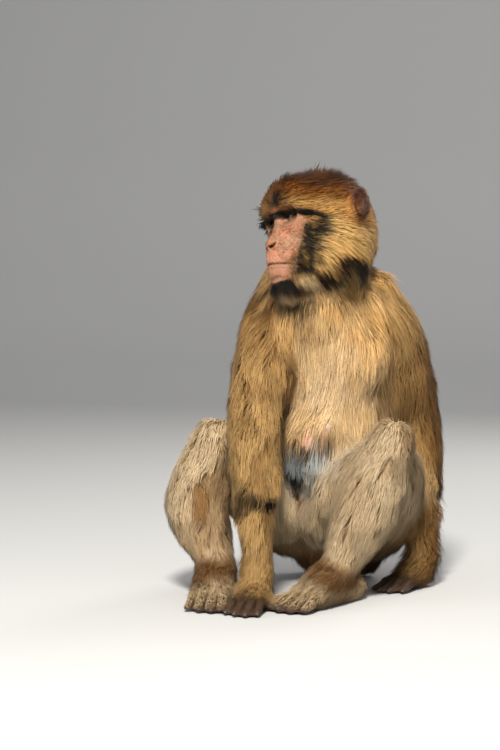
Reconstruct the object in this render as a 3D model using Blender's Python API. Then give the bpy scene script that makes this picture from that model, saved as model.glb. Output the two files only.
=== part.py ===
"""A Barbary macaque sitting upright, life size, as closed solids out to the tips of its coat.

Frame: the animal faces -Y, its left side is +X, the floor is z = 0. All sizes are in metres.
The body is modelled whole from turned limbs and ovals, fused and smoothed, and then parted with
thin cuts into the pieces that a person would name.
"""

import math

import bmesh
import bpy
import numpy as np
from mathutils import Matrix, Vector

# Joints, at rest in the pose
SHOULDER = {"left": Vector((0.078, -0.030, 0.330)), "right": Vector((-0.060, -0.044, 0.344))}
ELBOW = {"left": Vector((0.102, 0.040, 0.200)), "right": Vector((-0.058, -0.156, 0.226))}
WRIST = {"left": Vector((0.122, -0.004, 0.046)), "right": Vector((-0.037, -0.208, 0.054))}
HIP = {"left": Vector((0.052, -0.006, 0.086)), "right": Vector((-0.052, -0.006, 0.086))}
KNEE = {"left": Vector((0.114, -0.138, 0.198)), "right": Vector((-0.112, -0.150, 0.195))}
ANKLE = {"left": Vector((0.052, -0.156, 0.046)), "right": Vector((-0.099, -0.176, 0.046))}
CALF_OUT = {"left": 0.004, "right": 0.031}  # how far the calf is pressed outwards
INNER_THIGH = {  # the soft inside of each thigh, ahead of the hip: places with half widths
    "left": (
        (0.018, -0.081, 0.094, 0.045),
        (0.052, -0.100, 0.127, 0.045),
        (0.090, -0.120, 0.168, 0.034),
    ),
    "right": (
        (-0.045, -0.074, 0.088, 0.035),
        (-0.064, -0.092, 0.122, 0.038),
        (-0.092, -0.118, 0.160, 0.030),
    ),
}
HAND_HEADING = {"left": -20.0, "right": 5.0}  # degrees to the animal's left of straight ahead
FOOT_HEADING = {"left": -21.0, "right": 12.0}

# Head: where its middle is, and how far it is turned to its right, raised and tilted, in degrees
HEAD_CENTRE = Vector((0.004, -0.082, 0.4450))
HEAD_TURN = 38.0
HEAD_RAISE = 3.0
HEAD_TILT = 11.0  # its right side is the lower

EAR_OUT = 0.070
EAR_BACK = 0.0160
EAR_UP = 0.029
EAR_FLARE = 32.0
NECK_CUT = Vector((0.004, -0.045, 0.362))
NECK_CUT_FACING = Vector((0.0, -0.30, 1.0))
GAP = 0.0005  # between solids that meet
SLIT = 0.0004  # the thickness of the cuts that part the body
VOXEL = {"head": 0.0022, "torso": 0.0035, "arm": 0.0024, "leg": 0.0024, "thigh": 0.0035}
TRIANGLES = {"head": 1700, "torso": 780, "arm": 720, "leg": 650, "thigh": 300}
TRUNK_LEAN = 0.024  # how far the trunk leans to the left for each metre of height
BROW_HALF = 0.038
EYE_RADIUS = 0.0098
EYE_PLACE = Vector((0.0168, -0.0452, 0.0192))  # the left one, in the head's frame
EYE_HOLLOW = (0.0195, -0.0675, 0.0180)  # the middle of the hollow before the left eye
EYE_HOLLOW_HALVES = (0.0155, 0.0195, 0.0105)
FLOOR_BITE = 0.0022  # how far palms and soles are pressed flat

SIDES = ("left", "right")
OUTWARD = {"left": 1.0, "right": -1.0}
RING = 24  # points round a turned limb

COAT_BROWN = (0.42, 0.27, 0.12, 1.0)
COAT_PALE = (0.62, 0.49, 0.32, 1.0)
BARE_SKIN = (0.60, 0.34, 0.26, 1.0)
PAW_GREY = (0.30, 0.21, 0.16, 1.0)
EYE_AMBER = (0.20, 0.09, 0.03, 1.0)

HEAD = (
    Matrix.Translation(HEAD_CENTRE)
    @ Matrix.Rotation(math.radians(-HEAD_TURN), 4, "Z")
    @ Matrix.Rotation(math.radians(-HEAD_RAISE), 4, "X")
    @ Matrix.Rotation(math.radians(-HEAD_TILT), 4, "Y")
)


# ---------------------------------------------------------------- building blocks


def smooth_line(rows, step):
    """Rows of numbers read more finely, along a smooth curve through them."""
    rows = np.array(rows, float)
    ends = np.vstack([2 * rows[0] - rows[1], rows, 2 * rows[-1] - rows[-2]])
    found = []
    for i in range(1, len(ends) - 2):
        p0, p1, p2, p3 = ends[i - 1 : i + 3]
        n = max(1, round(np.linalg.norm((p2 - p1)[:3]) / step))
        for k in range(n):
            t = k / n
            found.append(
                0.5 * (2 * p1 + (p2 - p0) * t + (2 * p0 - 5 * p1 + 4 * p2 - p3) * t * t
                       + (3 * p1 - p0 - 3 * p2 + p3) * t**3)
            )
    found.append(ends[-2])
    return np.array(found)


def add_limb(bm, rows, wide=(1, 0, 0), step=0.008):
    """Adds a turned form to bm. Each row is x, y, z, half width and half depth; wide is the way
    in which its width runs. The ends are rounded."""
    rows = smooth_line([[*r, r[3]][:5] if len(r) == 4 else r for r in rows], step)
    centres, halves = rows[:, :3], np.maximum(rows[:, 3:5], 0.001)
    run = np.gradient(centres, axis=0)
    run /= np.linalg.norm(run, axis=1)[:, None]
    first, last = (centres[0], halves[0], run[0]), (centres[-1], halves[-1], run[-1])
    profile = []
    for turn in (80, 55, 30):
        a = math.radians(turn)
        c, h, r = first
        profile.append((c - r * h.min() * math.sin(a), h * math.cos(a), r))
    profile += list(zip(centres, halves, run))
    for turn in (30, 55, 80):
        a = math.radians(turn)
        c, h, r = last
        profile.append((c + r * h.min() * math.sin(a), h * math.cos(a), r))
    rings = []
    for centre, half, along in profile:
        side = np.array(wide, float)
        side -= along * side.dot(along)
        side /= np.linalg.norm(side)
        over = np.cross(along, side)
        ring = []
        for k in range(RING):
            a = 2 * math.pi * k / RING
            ring.append(bm.verts.new(centre + side * half[0] * math.cos(a) + over * half[1] * math.sin(a)))
        rings.append(ring)
    for a, b in zip(rings, rings[1:]):
        for k in range(RING):
            n = (k + 1) % RING
            bm.faces.new((a[k], a[n], b[n], b[k]))
    bm.faces.new(rings[0][::-1])
    bm.faces.new(rings[-1])


def add_oval(bm, centre, halves, place=None, turn=(0, 0, 0)):
    """Adds an ellipsoid to bm, with half sizes along x, y and z, turned by turn degrees about them."""
    spin = Matrix.Identity(4)
    for axis, degrees in zip("XYZ", turn):
        spin = Matrix.Rotation(math.radians(degrees), 4, axis) @ spin
    matrix = (place or Matrix.Identity(4)) @ Matrix.Translation(Vector(centre)) @ spin
    matrix = matrix @ Matrix.Diagonal((*halves, 1))
    bmesh.ops.create_uvsphere(bm, u_segments=32, v_segments=20, radius=1, matrix=matrix)


def placed(rows, place):
    """Rows of x, y, z and half sizes, with their points moved by a matrix."""
    return [[*(place @ Vector(r[:3])), *r[3:]] for r in rows]


def object_of(bm, name):
    """A new object that holds bm."""
    mesh = bpy.data.meshes.new(name)
    bmesh.ops.recalc_face_normals(bm, faces=bm.faces)
    bm.to_mesh(mesh)
    bm.free()
    obj = bpy.data.objects.new(name, mesh)
    bpy.context.scene.collection.objects.link(obj)
    return obj


def settle(obj):
    """Applies an object's modifiers."""
    bpy.context.view_layer.update()
    made = bpy.data.meshes.new_from_object(obj.evaluated_get(bpy.context.evaluated_depsgraph_get()))
    obj.modifiers.clear()
    obj.data = made
    return obj


def remove(*objects):
    """Deletes helpers that have done their work."""
    for obj in objects:
        bpy.data.objects.remove(obj)


def combine(obj, other, operation):
    """Boolean of obj with other, applied."""
    modifier = obj.modifiers.new("join", "BOOLEAN")
    modifier.operation = operation
    modifier.object = other
    modifier.solver = "EXACT"
    return settle(obj)


def copy_of(obj, name):
    """A copy of an object with its own mesh."""
    made = bpy.data.objects.new(name, obj.data.copy())
    bpy.context.scene.collection.objects.link(made)
    return made


# ---------------------------------------------------------------- the body's masses


def trunk_mass(bm):
    """Rump, belly, chest and shoulders, with the coat on them."""
    levels = (  # height, lean, half width, half depth
        (0.062, 0.022, 0.070, 0.062),
        (0.092, 0.014, 0.085, 0.082),
        (0.130, 0.004, 0.089, 0.094),
        (0.180, -0.006, 0.087, 0.097),
        (0.235, -0.014, 0.086, 0.095),
        (0.285, -0.024, 0.088, 0.088),
        (0.330, -0.034, 0.086, 0.076),
        (0.362, -0.042, 0.070, 0.060),
    )
    add_limb(bm, [(TRUNK_LEAN * z, y, z, w, d) for z, y, w, d in levels])
    add_oval(bm, (0.004, -0.078, 0.180), (0.060, 0.050, 0.064))  # belly
    add_oval(bm, (0.004, 0.010, 0.334), (0.070, 0.042, 0.050), turn=(-20, 0, 0))  # withers
    for side in SIDES:
        out = OUTWARD[side]
        add_oval(bm, (out * 0.032, 0.030, 0.030), (0.030, 0.036, 0.0320))  # sitting pad
        add_oval(bm, HIP[side] + Vector((out * -0.002, 0.022, -0.004)), (0.050, 0.062, 0.054))
        add_oval(bm, (0.006 + out * 0.046, -0.080, 0.300), (0.048, 0.036, 0.048))  # breast
        add_oval(bm, SHOULDER[side] + Vector((out * -0.018, 0.012, -0.008)), (0.034, 0.046, 0.034))


def neck_mass(bm):
    """The neck and the mantle of long hair that runs from it to the shoulders."""
    mantle = [
        (0.004, -0.034, 0.322, 0.098, 0.068),
        (0.004, -0.038, 0.350, 0.100, 0.068),
        (-0.001, -0.046, 0.374, 0.096, 0.064),
        (-0.006, -0.052, 0.395, 0.082, 0.056),
        (-0.005, -0.060, 0.412, 0.060, 0.046),
    ]
    add_limb(bm, mantle)
    add_oval(bm, (-0.004, -0.100, 0.350), (0.062, 0.032, 0.050), turn=(20, 0, 0))  # throat ruff


def head_mass(bm):
    """Skull, ruffs, brow, muzzle and chin, in the head's own frame."""
    def oval(centre, halves, turn=(0, 0, 0)):
        add_oval(bm, centre, halves, HEAD, turn)

    def form(rows, step=0.006):
        add_limb(bm, placed(rows, HEAD), wide=HEAD.to_3x3() @ Vector((1, 0, 0)), step=step)

    oval((0, 0.006, 0.016), (0.066, 0.072, 0.065))  # skull with its coat
    oval((0, -0.028, 0.040), (0.055, 0.046, 0.034))  # forehead
    oval((0, 0.030, -0.004), (0.058, 0.047, 0.052))  # back of the head
    oval((0, -0.012, -0.022), (0.057, 0.050, 0.046))  # jaws under the cheeks
    for side in SIDES:
        out = OUTWARD[side]
        oval((out * 0.038, 0.006, -0.020), (0.032, 0.044, 0.046), (12, 0, 0))  # cheek ruff
        oval((out * 0.032, 0.002, -0.050), (0.033, 0.042, 0.032))  # jaw ruff
        oval((out * 0.027, -0.037, 0.000), (0.018, 0.018, 0.013))  # cheekbone
    across = np.linspace(-BROW_HALF, BROW_HALF, 7)
    brow = [(x, -0.0625 + 9.0 * x * x, 0.0350 - 8.0 * x * x, 0.0105, 0.0085) for x in across]
    add_limb(bm, placed(brow, HEAD), wide=HEAD.to_3x3() @ Vector((0, 1, 0)), step=0.006)
    form([
        (0, -0.030, 0.012, 0.0200, 0.0190),
        (0, -0.037, -0.006, 0.0235, 0.0265),
        (0, -0.044, -0.022, 0.0260, 0.0325),
        (0, -0.046, -0.036, 0.0275, 0.0345),
        (0, -0.043, -0.050, 0.0270, 0.0325),
        (0, -0.038, -0.059, 0.0230, 0.0275),
    ])  # muzzle and chin, from the top down
    form([
        (0, -0.0435, 0.0200, 0.0085, 0.0085),
        (0, -0.0580, 0.0020, 0.0085, 0.0085),
        (0, -0.0725, -0.0150, 0.0110, 0.0090),
    ], 0.005)  # bridge and tip of the nose
    oval((0, -0.0560, -0.0360), (0.0235, 0.0260, 0.0085))  # upper lip
    oval((0, -0.0530, -0.0500), (0.0205, 0.0250, 0.0080))  # lower lip
    oval((0, -0.030, -0.060), (0.036, 0.036, 0.022))  # underjaw
    oval((0, -0.050, -0.068), (0.021, 0.0250, 0.0155))  # beard


def arm_mass(bm, side):
    """Upper arm and forearm."""
    shoulder, elbow, wrist = SHOULDER[side], ELBOW[side], WRIST[side]
    rows = [
        (*shoulder, 0.045),
        (*shoulder.lerp(elbow, 0.50), 0.044),
        (*elbow.lerp(shoulder, 0.06), 0.035),
        (*elbow.lerp(wrist, 0.30), 0.033),
        (*elbow.lerp(wrist, 0.65), 0.0265),
        (*wrist, 0.0190),
    ]
    add_limb(bm, rows, wide=(1, 0, 0))


def thigh_mass(bm, side):
    """The thigh, from inside the rump to the knee, and its soft inside."""
    hip, knee = HIP[side], KNEE[side]
    thigh = [
        (*hip, 0.060),
        (*hip.lerp(knee, 0.40), 0.059),
        (*hip.lerp(knee, 0.68), 0.047),
        (*hip.lerp(knee, 0.84), 0.027),
    ]
    add_limb(bm, thigh)
    add_limb(bm, INNER_THIGH[side])


def shin_mass(bm, side):
    """The knee, and the shin with its calf."""
    hip, knee, ankle = HIP[side], KNEE[side], ANKLE[side]
    behind = 0.010 * (hip - knee.lerp(ankle, 0.5)).normalized()
    behind += Vector((OUTWARD[side] * CALF_OUT[side], 0, 0))
    shin = [
        (*knee, 0.029),
        (*(knee.lerp(ankle, 0.28) + 0.6 * behind), 0.037),
        (*(knee.lerp(ankle, 0.56) + behind), 0.041),
        (*(knee.lerp(ankle, 0.82) + 0.5 * behind), 0.033),
        (*ankle, 0.0235),
    ]
    add_limb(bm, shin, wide=(1, 0, 0))


def paw_frame(start, heading):
    """Frame of a hand or foot, pressed on the floor: x to its left, -y ahead, origin under start."""
    spin = Matrix.Rotation(math.radians(heading), 4, "Z")
    return Matrix.Translation(Vector((start.x, start.y, -FLOOR_BITE))) @ spin


def add_digit(bm, frame, root, heading, length, girth, rise):
    """One finger or toe: from its knuckle over a low arch down to its tip."""
    ahead = Vector((math.sin(math.radians(heading)), -math.cos(math.radians(heading)), 0))
    root = Vector(root)
    rows = []
    for share, lift in ((0.0, 0.0), (0.35, rise), (0.70, 0.35 * rise), (1.0, -0.55 * rise)):
        point = root + ahead * length * share
        floor_height = girth * (1.0 - 0.12 * share)
        height = max(root.z * (1 - share) + lift * (1 - share) + floor_height * share, 0.92 * floor_height)
        rows.append((point.x, point.y, height, girth * (1.0 - 0.14 * share)))
    add_limb(bm, placed(rows, frame), wide=frame.to_3x3() @ Vector((1, 0, 0)), step=0.004)


def foot_mass(bm, side):
    """Heel, sole and toes, with the great toe standing off on the inside."""
    inward = -OUTWARD[side]
    frame = paw_frame(ANKLE[side], FOOT_HEADING[side])
    sole = [
        (0, 0.026, 0.0180, 0.0195, 0.0185),
        (0, 0.000, 0.0200, 0.0230, 0.0205),
        (0, -0.035, 0.0190, 0.0255, 0.0190),
        (0, -0.066, 0.0150, 0.0270, 0.0155),
    ]
    add_limb(bm, placed(sole, frame), wide=frame.to_3x3() @ Vector((1, 0, 0)), step=0.006)
    instep = [
        (0, 0.002, 0.042, 0.0240, 0.0230),
        (0, -0.026, 0.034, 0.0250, 0.0190),
        (0, -0.054, 0.024, 0.0250, 0.0150),
    ]
    add_limb(bm, placed(instep, frame), wide=frame.to_3x3() @ Vector((1, 0, 0)), step=0.006)
    for k, (length, spread) in enumerate(((0.042, 4), (0.047, 1), (0.044, -3), (0.035, -8))):
        across = inward * (0.018 - 0.0120 * k)
        add_digit(bm, frame, (across, -0.066, 0.0125), inward * spread, length, 0.0072, 0.006)
    add_digit(bm, frame, (inward * 0.022, -0.032, 0.012), inward * 34, 0.040, 0.0088, 0.004)


def hand_mass(bm, side):
    """Palm and fingers, with the short thumb on the inside."""
    inward = -OUTWARD[side]
    frame = paw_frame(WRIST[side], HAND_HEADING[side])
    top = WRIST[side].z
    palm = [
        (0, 0.004, top, 0.0190, 0.0170),
        (0, -0.014, 0.024, 0.0205, 0.0160),
        (0, -0.042, 0.0135, 0.0212, 0.0135),
    ]
    add_limb(bm, placed(palm, frame), wide=frame.to_3x3() @ Vector((1, 0, 0)), step=0.006)
    add_oval(bm, (0, -0.012, 0.0125), (0.0185, 0.017, 0.0130), frame)  # heel of the hand
    for k, (length, spread) in enumerate(((0.040, 5), (0.046, 1), (0.043, -3), (0.034, -8))):
        across = inward * (0.0155 - 0.0104 * k)
        add_digit(bm, frame, (across, -0.044, 0.0110), inward * spread, length, 0.0064, 0.006)
    add_digit(bm, frame, (inward * 0.017, -0.016, 0.010), inward * 36, 0.030, 0.0068, 0.002)


# ---------------------------------------------------------------- fusing and parting


def wrapped(obj, kind):
    """Replaces obj's overlapping parts by one closed skin round them."""
    fuse = obj.modifiers.new("fuse", "REMESH")
    fuse.mode = "VOXEL"
    fuse.voxel_size = VOXEL[kind]
    return settle(obj)


def fused(bm, name, kind, soften, keep=None):
    """One closed skin round everything in bm, smoothed soften times except where keep says so."""
    obj = wrapped(object_of(bm, name), kind)
    group = obj.vertex_groups.new(name="soft")
    for vertex in obj.data.vertices:
        group.add([vertex.index], 1.0 if keep is None else 1.0 - keep(vertex.co), "REPLACE")
    smooth = obj.modifiers.new("smooth", "SMOOTH")
    smooth.factor = 0.5
    smooth.iterations = soften
    smooth.vertex_group = "soft"
    even = obj.modifiers.new("even", "SMOOTH")
    even.iterations = 2
    fewer = obj.modifiers.new("fewer", "DECIMATE")
    fewer.ratio = TRIANGLES[kind] / (2.0 * len(obj.data.polygons))
    return settle(obj)


def fade(value, low, high):
    """0 below low, 1 above high, and smooth between them."""
    t = min(max((value - low) / (high - low), 0.0), 1.0)
    return t * t * (3 - 2 * t)


def face_detail(point):
    """How much of a point's shape belongs to the face, from 0 to 1."""
    local = HEAD.inverted() @ point
    front = fade(-local.y, 0.020, 0.040) * fade(-abs(local.x), -0.052, -0.036)
    return 0.93 * front * fade(-local.z, -0.046, -0.034)


def paw_detail(point):
    """How much of a point's shape belongs to a hand or foot, from 0 to 1."""
    return 0.96 * fade(-point.z, -0.060, -0.035)


def swollen(obj, by):
    """A copy of obj whose surface stands further out."""
    made = copy_of(obj, obj.name + "_swollen")
    bm = bmesh.new()
    bm.from_mesh(made.data)
    bm.normal_update()
    shifts = [vertex.normal * vertex.calc_shell_factor() * by for vertex in bm.verts]
    for vertex, shift in zip(bm.verts, shifts):
        vertex.co += shift
    bm.to_mesh(made.data)
    bm.free()
    return made


def clear_of(obj, *neighbours):
    """Cuts obj back to a gap from each of its neighbours."""
    for neighbour in neighbours:
        cutter = swollen(neighbour, GAP)
        combine(obj, cutter, "DIFFERENCE")
        remove(cutter)
    return largest(obj)


def pieces_of(obj):
    """Lists of faces of obj's separate pieces, the largest by volume first."""
    bm = bmesh.new()
    bm.from_mesh(obj.data)
    bm.faces.ensure_lookup_table()
    left, found = set(bm.faces), []
    while left:
        stack, piece = [left.pop()], []
        while stack:
            face = stack.pop()
            piece.append(face)
            for edge in face.edges:
                for other in edge.link_faces:
                    if other in left:
                        left.remove(other)
                        stack.append(other)
        volume = 0.0
        for face in piece:
            corners = [vertex.co for vertex in face.verts]
            for i in range(1, len(corners) - 1):
                volume += corners[0].dot(corners[i].cross(corners[i + 1])) / 6
        found.append((abs(volume), sorted(face.index for face in piece)))
    bm.free()
    return [faces for _, faces in sorted(found, key=lambda each: -each[0])]


def only(obj, faces):
    """Deletes all of obj's mesh but some faces, and tidies what is left."""
    keep = set(faces)
    bm = bmesh.new()
    bm.from_mesh(obj.data)
    bm.faces.ensure_lookup_table()
    bmesh.ops.delete(bm, geom=[f for f in bm.faces if f.index not in keep], context="FACES")
    bmesh.ops.remove_doubles(bm, verts=bm.verts, dist=0.00002)
    bmesh.ops.dissolve_degenerate(bm, dist=0.00002, edges=bm.edges)
    bmesh.ops.triangulate(bm, faces=bm.faces)
    bm.to_mesh(obj.data)
    bm.free()
    return obj


def largest(obj):
    """Drops all but the largest separate piece of obj."""
    return only(obj, pieces_of(obj)[0])


def slab(point, normal, radius):
    """A thin disc across a limb, to cut it with."""
    spin = Vector(normal).normalized().to_track_quat("Z", "Y").to_matrix().to_4x4()
    bm = bmesh.new()
    bmesh.ops.create_cone(
        bm, cap_ends=True, segments=48, radius1=radius, radius2=radius, depth=SLIT,
        matrix=Matrix.Translation(Vector(point)) @ spin,
    )
    return object_of(bm, "slab")


def split(obj, point, normal, radius, near, far):
    """Cuts obj in two at a disc. The piece behind the disc is named near, and the other far."""
    cutter = slab(point, normal, radius)
    combine(obj, cutter, "DIFFERENCE")
    remove(cutter)
    first, second = pieces_of(obj)[:2]
    other = copy_of(obj, far)
    middle = sum((obj.data.polygons[i].center for i in first), Vector()) / len(first)
    if (middle - Vector(point)).dot(Vector(normal)) > 0:
        first, second = second, first
    only(obj, first)
    only(other, second)
    obj.name = near
    return obj, other


def on_floor(obj):
    """Cuts off what lies below the floor, which leaves flats at its level."""
    bm = bmesh.new()
    bmesh.ops.create_cube(bm, size=1.0, matrix=Matrix.Translation((0, 0, -0.5)) @ Matrix.Scale(1, 4))
    floor = object_of(bm, "floor")
    combine(obj, floor, "DIFFERENCE")
    remove(floor)
    return largest(obj)


# ---------------------------------------------------------------- the pieces


def make_eye(side):
    """An eyeball."""
    bm = bmesh.new()
    place = HEAD @ Vector((OUTWARD[side] * EYE_PLACE.x, EYE_PLACE.y, EYE_PLACE.z))
    bmesh.ops.create_uvsphere(
        bm, u_segments=14, v_segments=8, radius=EYE_RADIUS, matrix=Matrix.Translation(place)
    )
    return object_of(bm, f"eye_{side}")


def make_head():
    """The head, with hollows under the brow for the eyes."""
    bm = bmesh.new()
    head_mass(bm)
    rough = wrapped(object_of(bm, "head"), "head")
    for side in SIDES:
        bm = bmesh.new()
        across, ahead, up = EYE_HOLLOW
        add_oval(bm, (OUTWARD[side] * across, ahead, up), EYE_HOLLOW_HALVES, HEAD)
        hollow = object_of(bm, "hollow")
        combine(rough, hollow, "DIFFERENCE")
        remove(hollow)
    bm = bmesh.new()
    bm.from_mesh(rough.data)
    remove(rough)
    return fused(bm, "head", "head", 20, face_detail)


def make_ear(side):
    """An ear: a cupped leaf that stands off the side of the head."""
    out = OUTWARD[side]
    bm = bmesh.new()
    middle = Vector((out * EAR_OUT, EAR_BACK, EAR_UP))
    add_oval(bm, middle, (0.0085, 0.0165, 0.0205), HEAD, (0, 0, out * EAR_FLARE))
    ear = object_of(bm, f"ear_{side}")
    bm = bmesh.new()
    scoop = middle + Vector((out * 0.0075, -0.0060, 0.0010))
    add_oval(bm, scoop, (0.0080, 0.0130, 0.0160), HEAD, (0, 0, out * EAR_FLARE))
    cutter = object_of(bm, "scoop")
    combine(ear, cutter, "DIFFERENCE")
    remove(cutter)
    fewer = ear.modifiers.new("fewer", "DECIMATE")
    fewer.ratio = 0.12
    return settle(ear)


def make_torso():
    """Trunk and neck in one."""
    bm = bmesh.new()
    trunk_mass(bm)
    neck_mass(bm)
    return fused(bm, "trunk", "torso", 16)


def make_arm(side):
    """A whole arm with its hand."""
    bm = bmesh.new()
    arm_mass(bm, side)
    hand_mass(bm, side)
    return fused(bm, f"arm_{side}", "arm", 8, paw_detail)


def make_shin(side):
    """Knee, shin and foot in one."""
    bm = bmesh.new()
    shin_mass(bm, side)
    foot_mass(bm, side)
    return fused(bm, f"leg_{side}", "leg", 8, paw_detail)


def make_thigh(side):
    """A thigh."""
    bm = bmesh.new()
    thigh_mass(bm, side)
    return fused(bm, f"thigh_{side}", "thigh", 8)


def paint(obj, name, colour, roughness):
    """Gives an object its own material."""
    material = bpy.data.materials.new(name)
    material.use_nodes = True
    shader = material.node_tree.nodes["Principled BSDF"]
    shader.inputs["Base Color"].default_value = colour
    shader.inputs["Roughness"].default_value = roughness
    shader.inputs["Metallic"].default_value = 0.0
    obj.data.materials.clear()
    obj.data.materials.append(material)
    for polygon in obj.data.polygons:
        polygon.material_index = 0
        polygon.use_smooth = True


def stand_at_origin(objects):
    """Moves all the pieces together until the middle of their box's floor is the origin."""
    corners = np.array([vertex.co for obj in objects for vertex in obj.data.vertices])
    middle = (corners.min(axis=0) + corners.max(axis=0)) / 2
    shift = Matrix.Translation((-middle[0], -middle[1], 0))
    for obj in objects:
        obj.data.transform(shift)


def main():
    """Builds every piece."""
    for obj in list(bpy.data.objects):
        bpy.data.objects.remove(obj)
    torso = make_torso()
    eyes = {side: make_eye(side) for side in SIDES}
    head = clear_of(make_head(), torso, *eyes.values())
    ears = {side: clear_of(make_ear(side), head) for side in SIDES}
    limbs = {}
    for side in SIDES:
        limbs["arm", side] = on_floor(clear_of(make_arm(side), torso, head))
    for side in SIDES:
        limbs["thigh", side] = on_floor(clear_of(make_thigh(side), torso, *limbs.values()))
        limbs["leg", side] = on_floor(clear_of(make_shin(side), torso, *limbs.values()))
    on_floor(torso)
    trunk, neck = split(torso, NECK_CUT, NECK_CUT_FACING, 0.16, "trunk", "neck")
    pieces = [(head, COAT_BROWN), (neck, COAT_PALE), (trunk, COAT_PALE)]
    pieces += [(ears[side], BARE_SKIN) for side in SIDES]
    for side in SIDES:
        arm, leg = limbs["arm", side], limbs["leg", side]
        elbow, wrist, ankle = ELBOW[side], WRIST[side], ANKLE[side]
        bend = (wrist - elbow).normalized() + (elbow - SHOULDER[side]).normalized()
        upper, rest = split(arm, elbow, bend, 0.060, f"upper_arm_{side}", "rest")
        fore, hand = split(rest, wrist, wrist - elbow, 0.034, f"forearm_{side}", f"hand_{side}")
        shin, foot = split(leg, ankle, ankle - KNEE[side], 0.040, f"shin_{side}", f"foot_{side}")
        pieces += [(upper, COAT_BROWN), (fore, COAT_BROWN), (hand, PAW_GREY)]
        pieces += [(limbs["thigh", side], COAT_PALE), (shin, COAT_PALE), (foot, PAW_GREY)]
    for obj, colour in pieces:
        paint(obj, obj.name + "_finish", colour, 0.85)
    for side in SIDES:
        paint(eyes[side], f"eye_{side}_finish", EYE_AMBER, 0.08)
    stand_at_origin([obj for obj, _ in pieces] + list(eyes.values()))


if __name__ == "__main__":
    main()
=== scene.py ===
"""A Barbary macaque sitting upright, life size: one skin, its face, eyes and nails, and a coat of tufts.

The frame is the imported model: +X is the animal's left, -Y the way its chest faces, and the floor is z = 0.
"""
from __future__ import annotations

import logging
import math
from dataclasses import dataclass, field, replace
from enum import Enum
from typing import Any, Sequence

import bmesh
import bpy
import numpy as np
from mathutils import Matrix, Vector
from mathutils.bvhtree import BVHTree
from mathutils.kdtree import KDTree


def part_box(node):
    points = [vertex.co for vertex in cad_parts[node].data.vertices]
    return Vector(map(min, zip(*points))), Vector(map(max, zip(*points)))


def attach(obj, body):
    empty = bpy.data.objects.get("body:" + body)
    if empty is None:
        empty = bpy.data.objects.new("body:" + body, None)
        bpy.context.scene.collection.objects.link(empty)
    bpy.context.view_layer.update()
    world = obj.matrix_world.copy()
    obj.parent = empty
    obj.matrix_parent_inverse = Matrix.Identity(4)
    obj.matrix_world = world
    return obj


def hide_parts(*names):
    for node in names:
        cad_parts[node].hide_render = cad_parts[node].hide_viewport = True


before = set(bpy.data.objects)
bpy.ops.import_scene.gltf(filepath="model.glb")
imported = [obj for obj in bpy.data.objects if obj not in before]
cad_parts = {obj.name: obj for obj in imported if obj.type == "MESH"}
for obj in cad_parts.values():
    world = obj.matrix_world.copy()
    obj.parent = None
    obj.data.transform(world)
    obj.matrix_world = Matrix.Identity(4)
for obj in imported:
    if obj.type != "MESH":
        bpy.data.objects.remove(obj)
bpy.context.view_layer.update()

log = logging.getLogger("macaque")

Array = np.ndarray  # numbers, or rows of them
Pair = tuple[Array, Array]
Triple = tuple[float, float, float]
Corners = Sequence[Sequence[float]]
Faces = Sequence[tuple[int, ...]]
BySide = dict[str, Array]
Mesh, Material, Object = bpy.types.Mesh, bpy.types.Material, bpy.types.Object

SIDES = ("left", "right")
OUTWARD = {"left": 1.0, "right": -1.0}
EYE_NODES = ("eye_left", "eye_right")
SEED = 20
DOWN = np.array((0.0, 0.0, -1.0))


class Region(Enum):
    """The parts of the body that carry a coat of their own."""

    HEAD = 0
    EAR = 1
    NECK = 2
    TRUNK = 3
    UPPER_ARM = 4
    FOREARM = 5
    HAND = 6
    THIGH = 7
    SHIN = 8
    FOOT = 9


NODE_REGION = {"head": Region.HEAD, "neck": Region.NECK, "trunk": Region.TRUNK}
PAIRED = ("ear", "upper_arm", "forearm", "hand", "thigh", "shin", "foot")
NODE_REGION |= {f"{part}_{side}": Region[part.upper()] for side in SIDES for part in PAIRED}


# ---- numbers


def fade(value: Any, low: float, high: float) -> Any:
    """0 below low, 1 above high, and smooth between them."""
    t = np.clip((value - low) / (high - low), 0.0, 1.0)
    return t * t * (3 - 2 * t)


def hump(value: Any, middle: float, reach: float) -> Any:
    """1 at the middle and falling smoothly to 0 about twice the reach away."""
    return np.exp(-(((value - middle) / reach) ** 2))


def unit(vectors: Array) -> Array:
    """Vectors, or rows of them, at length 1."""
    return vectors / np.maximum(np.linalg.norm(vectors, axis=-1, keepdims=True), 1e-9)


def span(vectors: Array) -> Array:
    """The length of each row."""
    return np.linalg.norm(vectors, axis=1)


def srgb(*levels: int) -> Triple:
    """A linear colour from three screen levels of 0 to 255."""
    c = np.array(levels, float) / 255
    return tuple(np.where(c <= 0.04045, c / 12.92, ((c + 0.055) / 1.055) ** 2.4))


def read_off(table: Corners, at: Any, **ends: float) -> Any:
    """Reads a table of places and values, with straight lines between its rows."""
    return np.interp(at, *np.array(table).T, **ends)


def lerp(a: Any, b: Any, t: Any) -> Any:
    """Goes from a to b as t goes from 0 to 1; a mask of one number a row suits rows of colours."""
    if np.ndim(t) == 1 and max(np.ndim(a), np.ndim(b)) == 2:
        t = t[:, None]
    return a + (b - a) * t


def to_line(points: Array, line: Corners) -> Pair:
    """How far points lie from a broken line.

    Args:
        points: Rows of x, y, z.
        line: The corners of the line.

    Returns:
        The distance of each point, and how far along the line, from 0 to 1, its nearest place is.
    """
    corners = np.array(line, float)
    best = np.full(len(points), 1e9)
    where = np.zeros(len(points))
    for i, (a, b) in enumerate(zip(corners, corners[1:])):
        ab = b - a
        t = np.clip((points - a) @ ab / (ab @ ab), 0, 1)
        d = span(points - (a + t[:, None] * ab))
        closer = d < best
        best = np.where(closer, d, best)
        where = np.where(closer, (i + t) / (len(corners) - 1), where)
    return best, where


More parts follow.
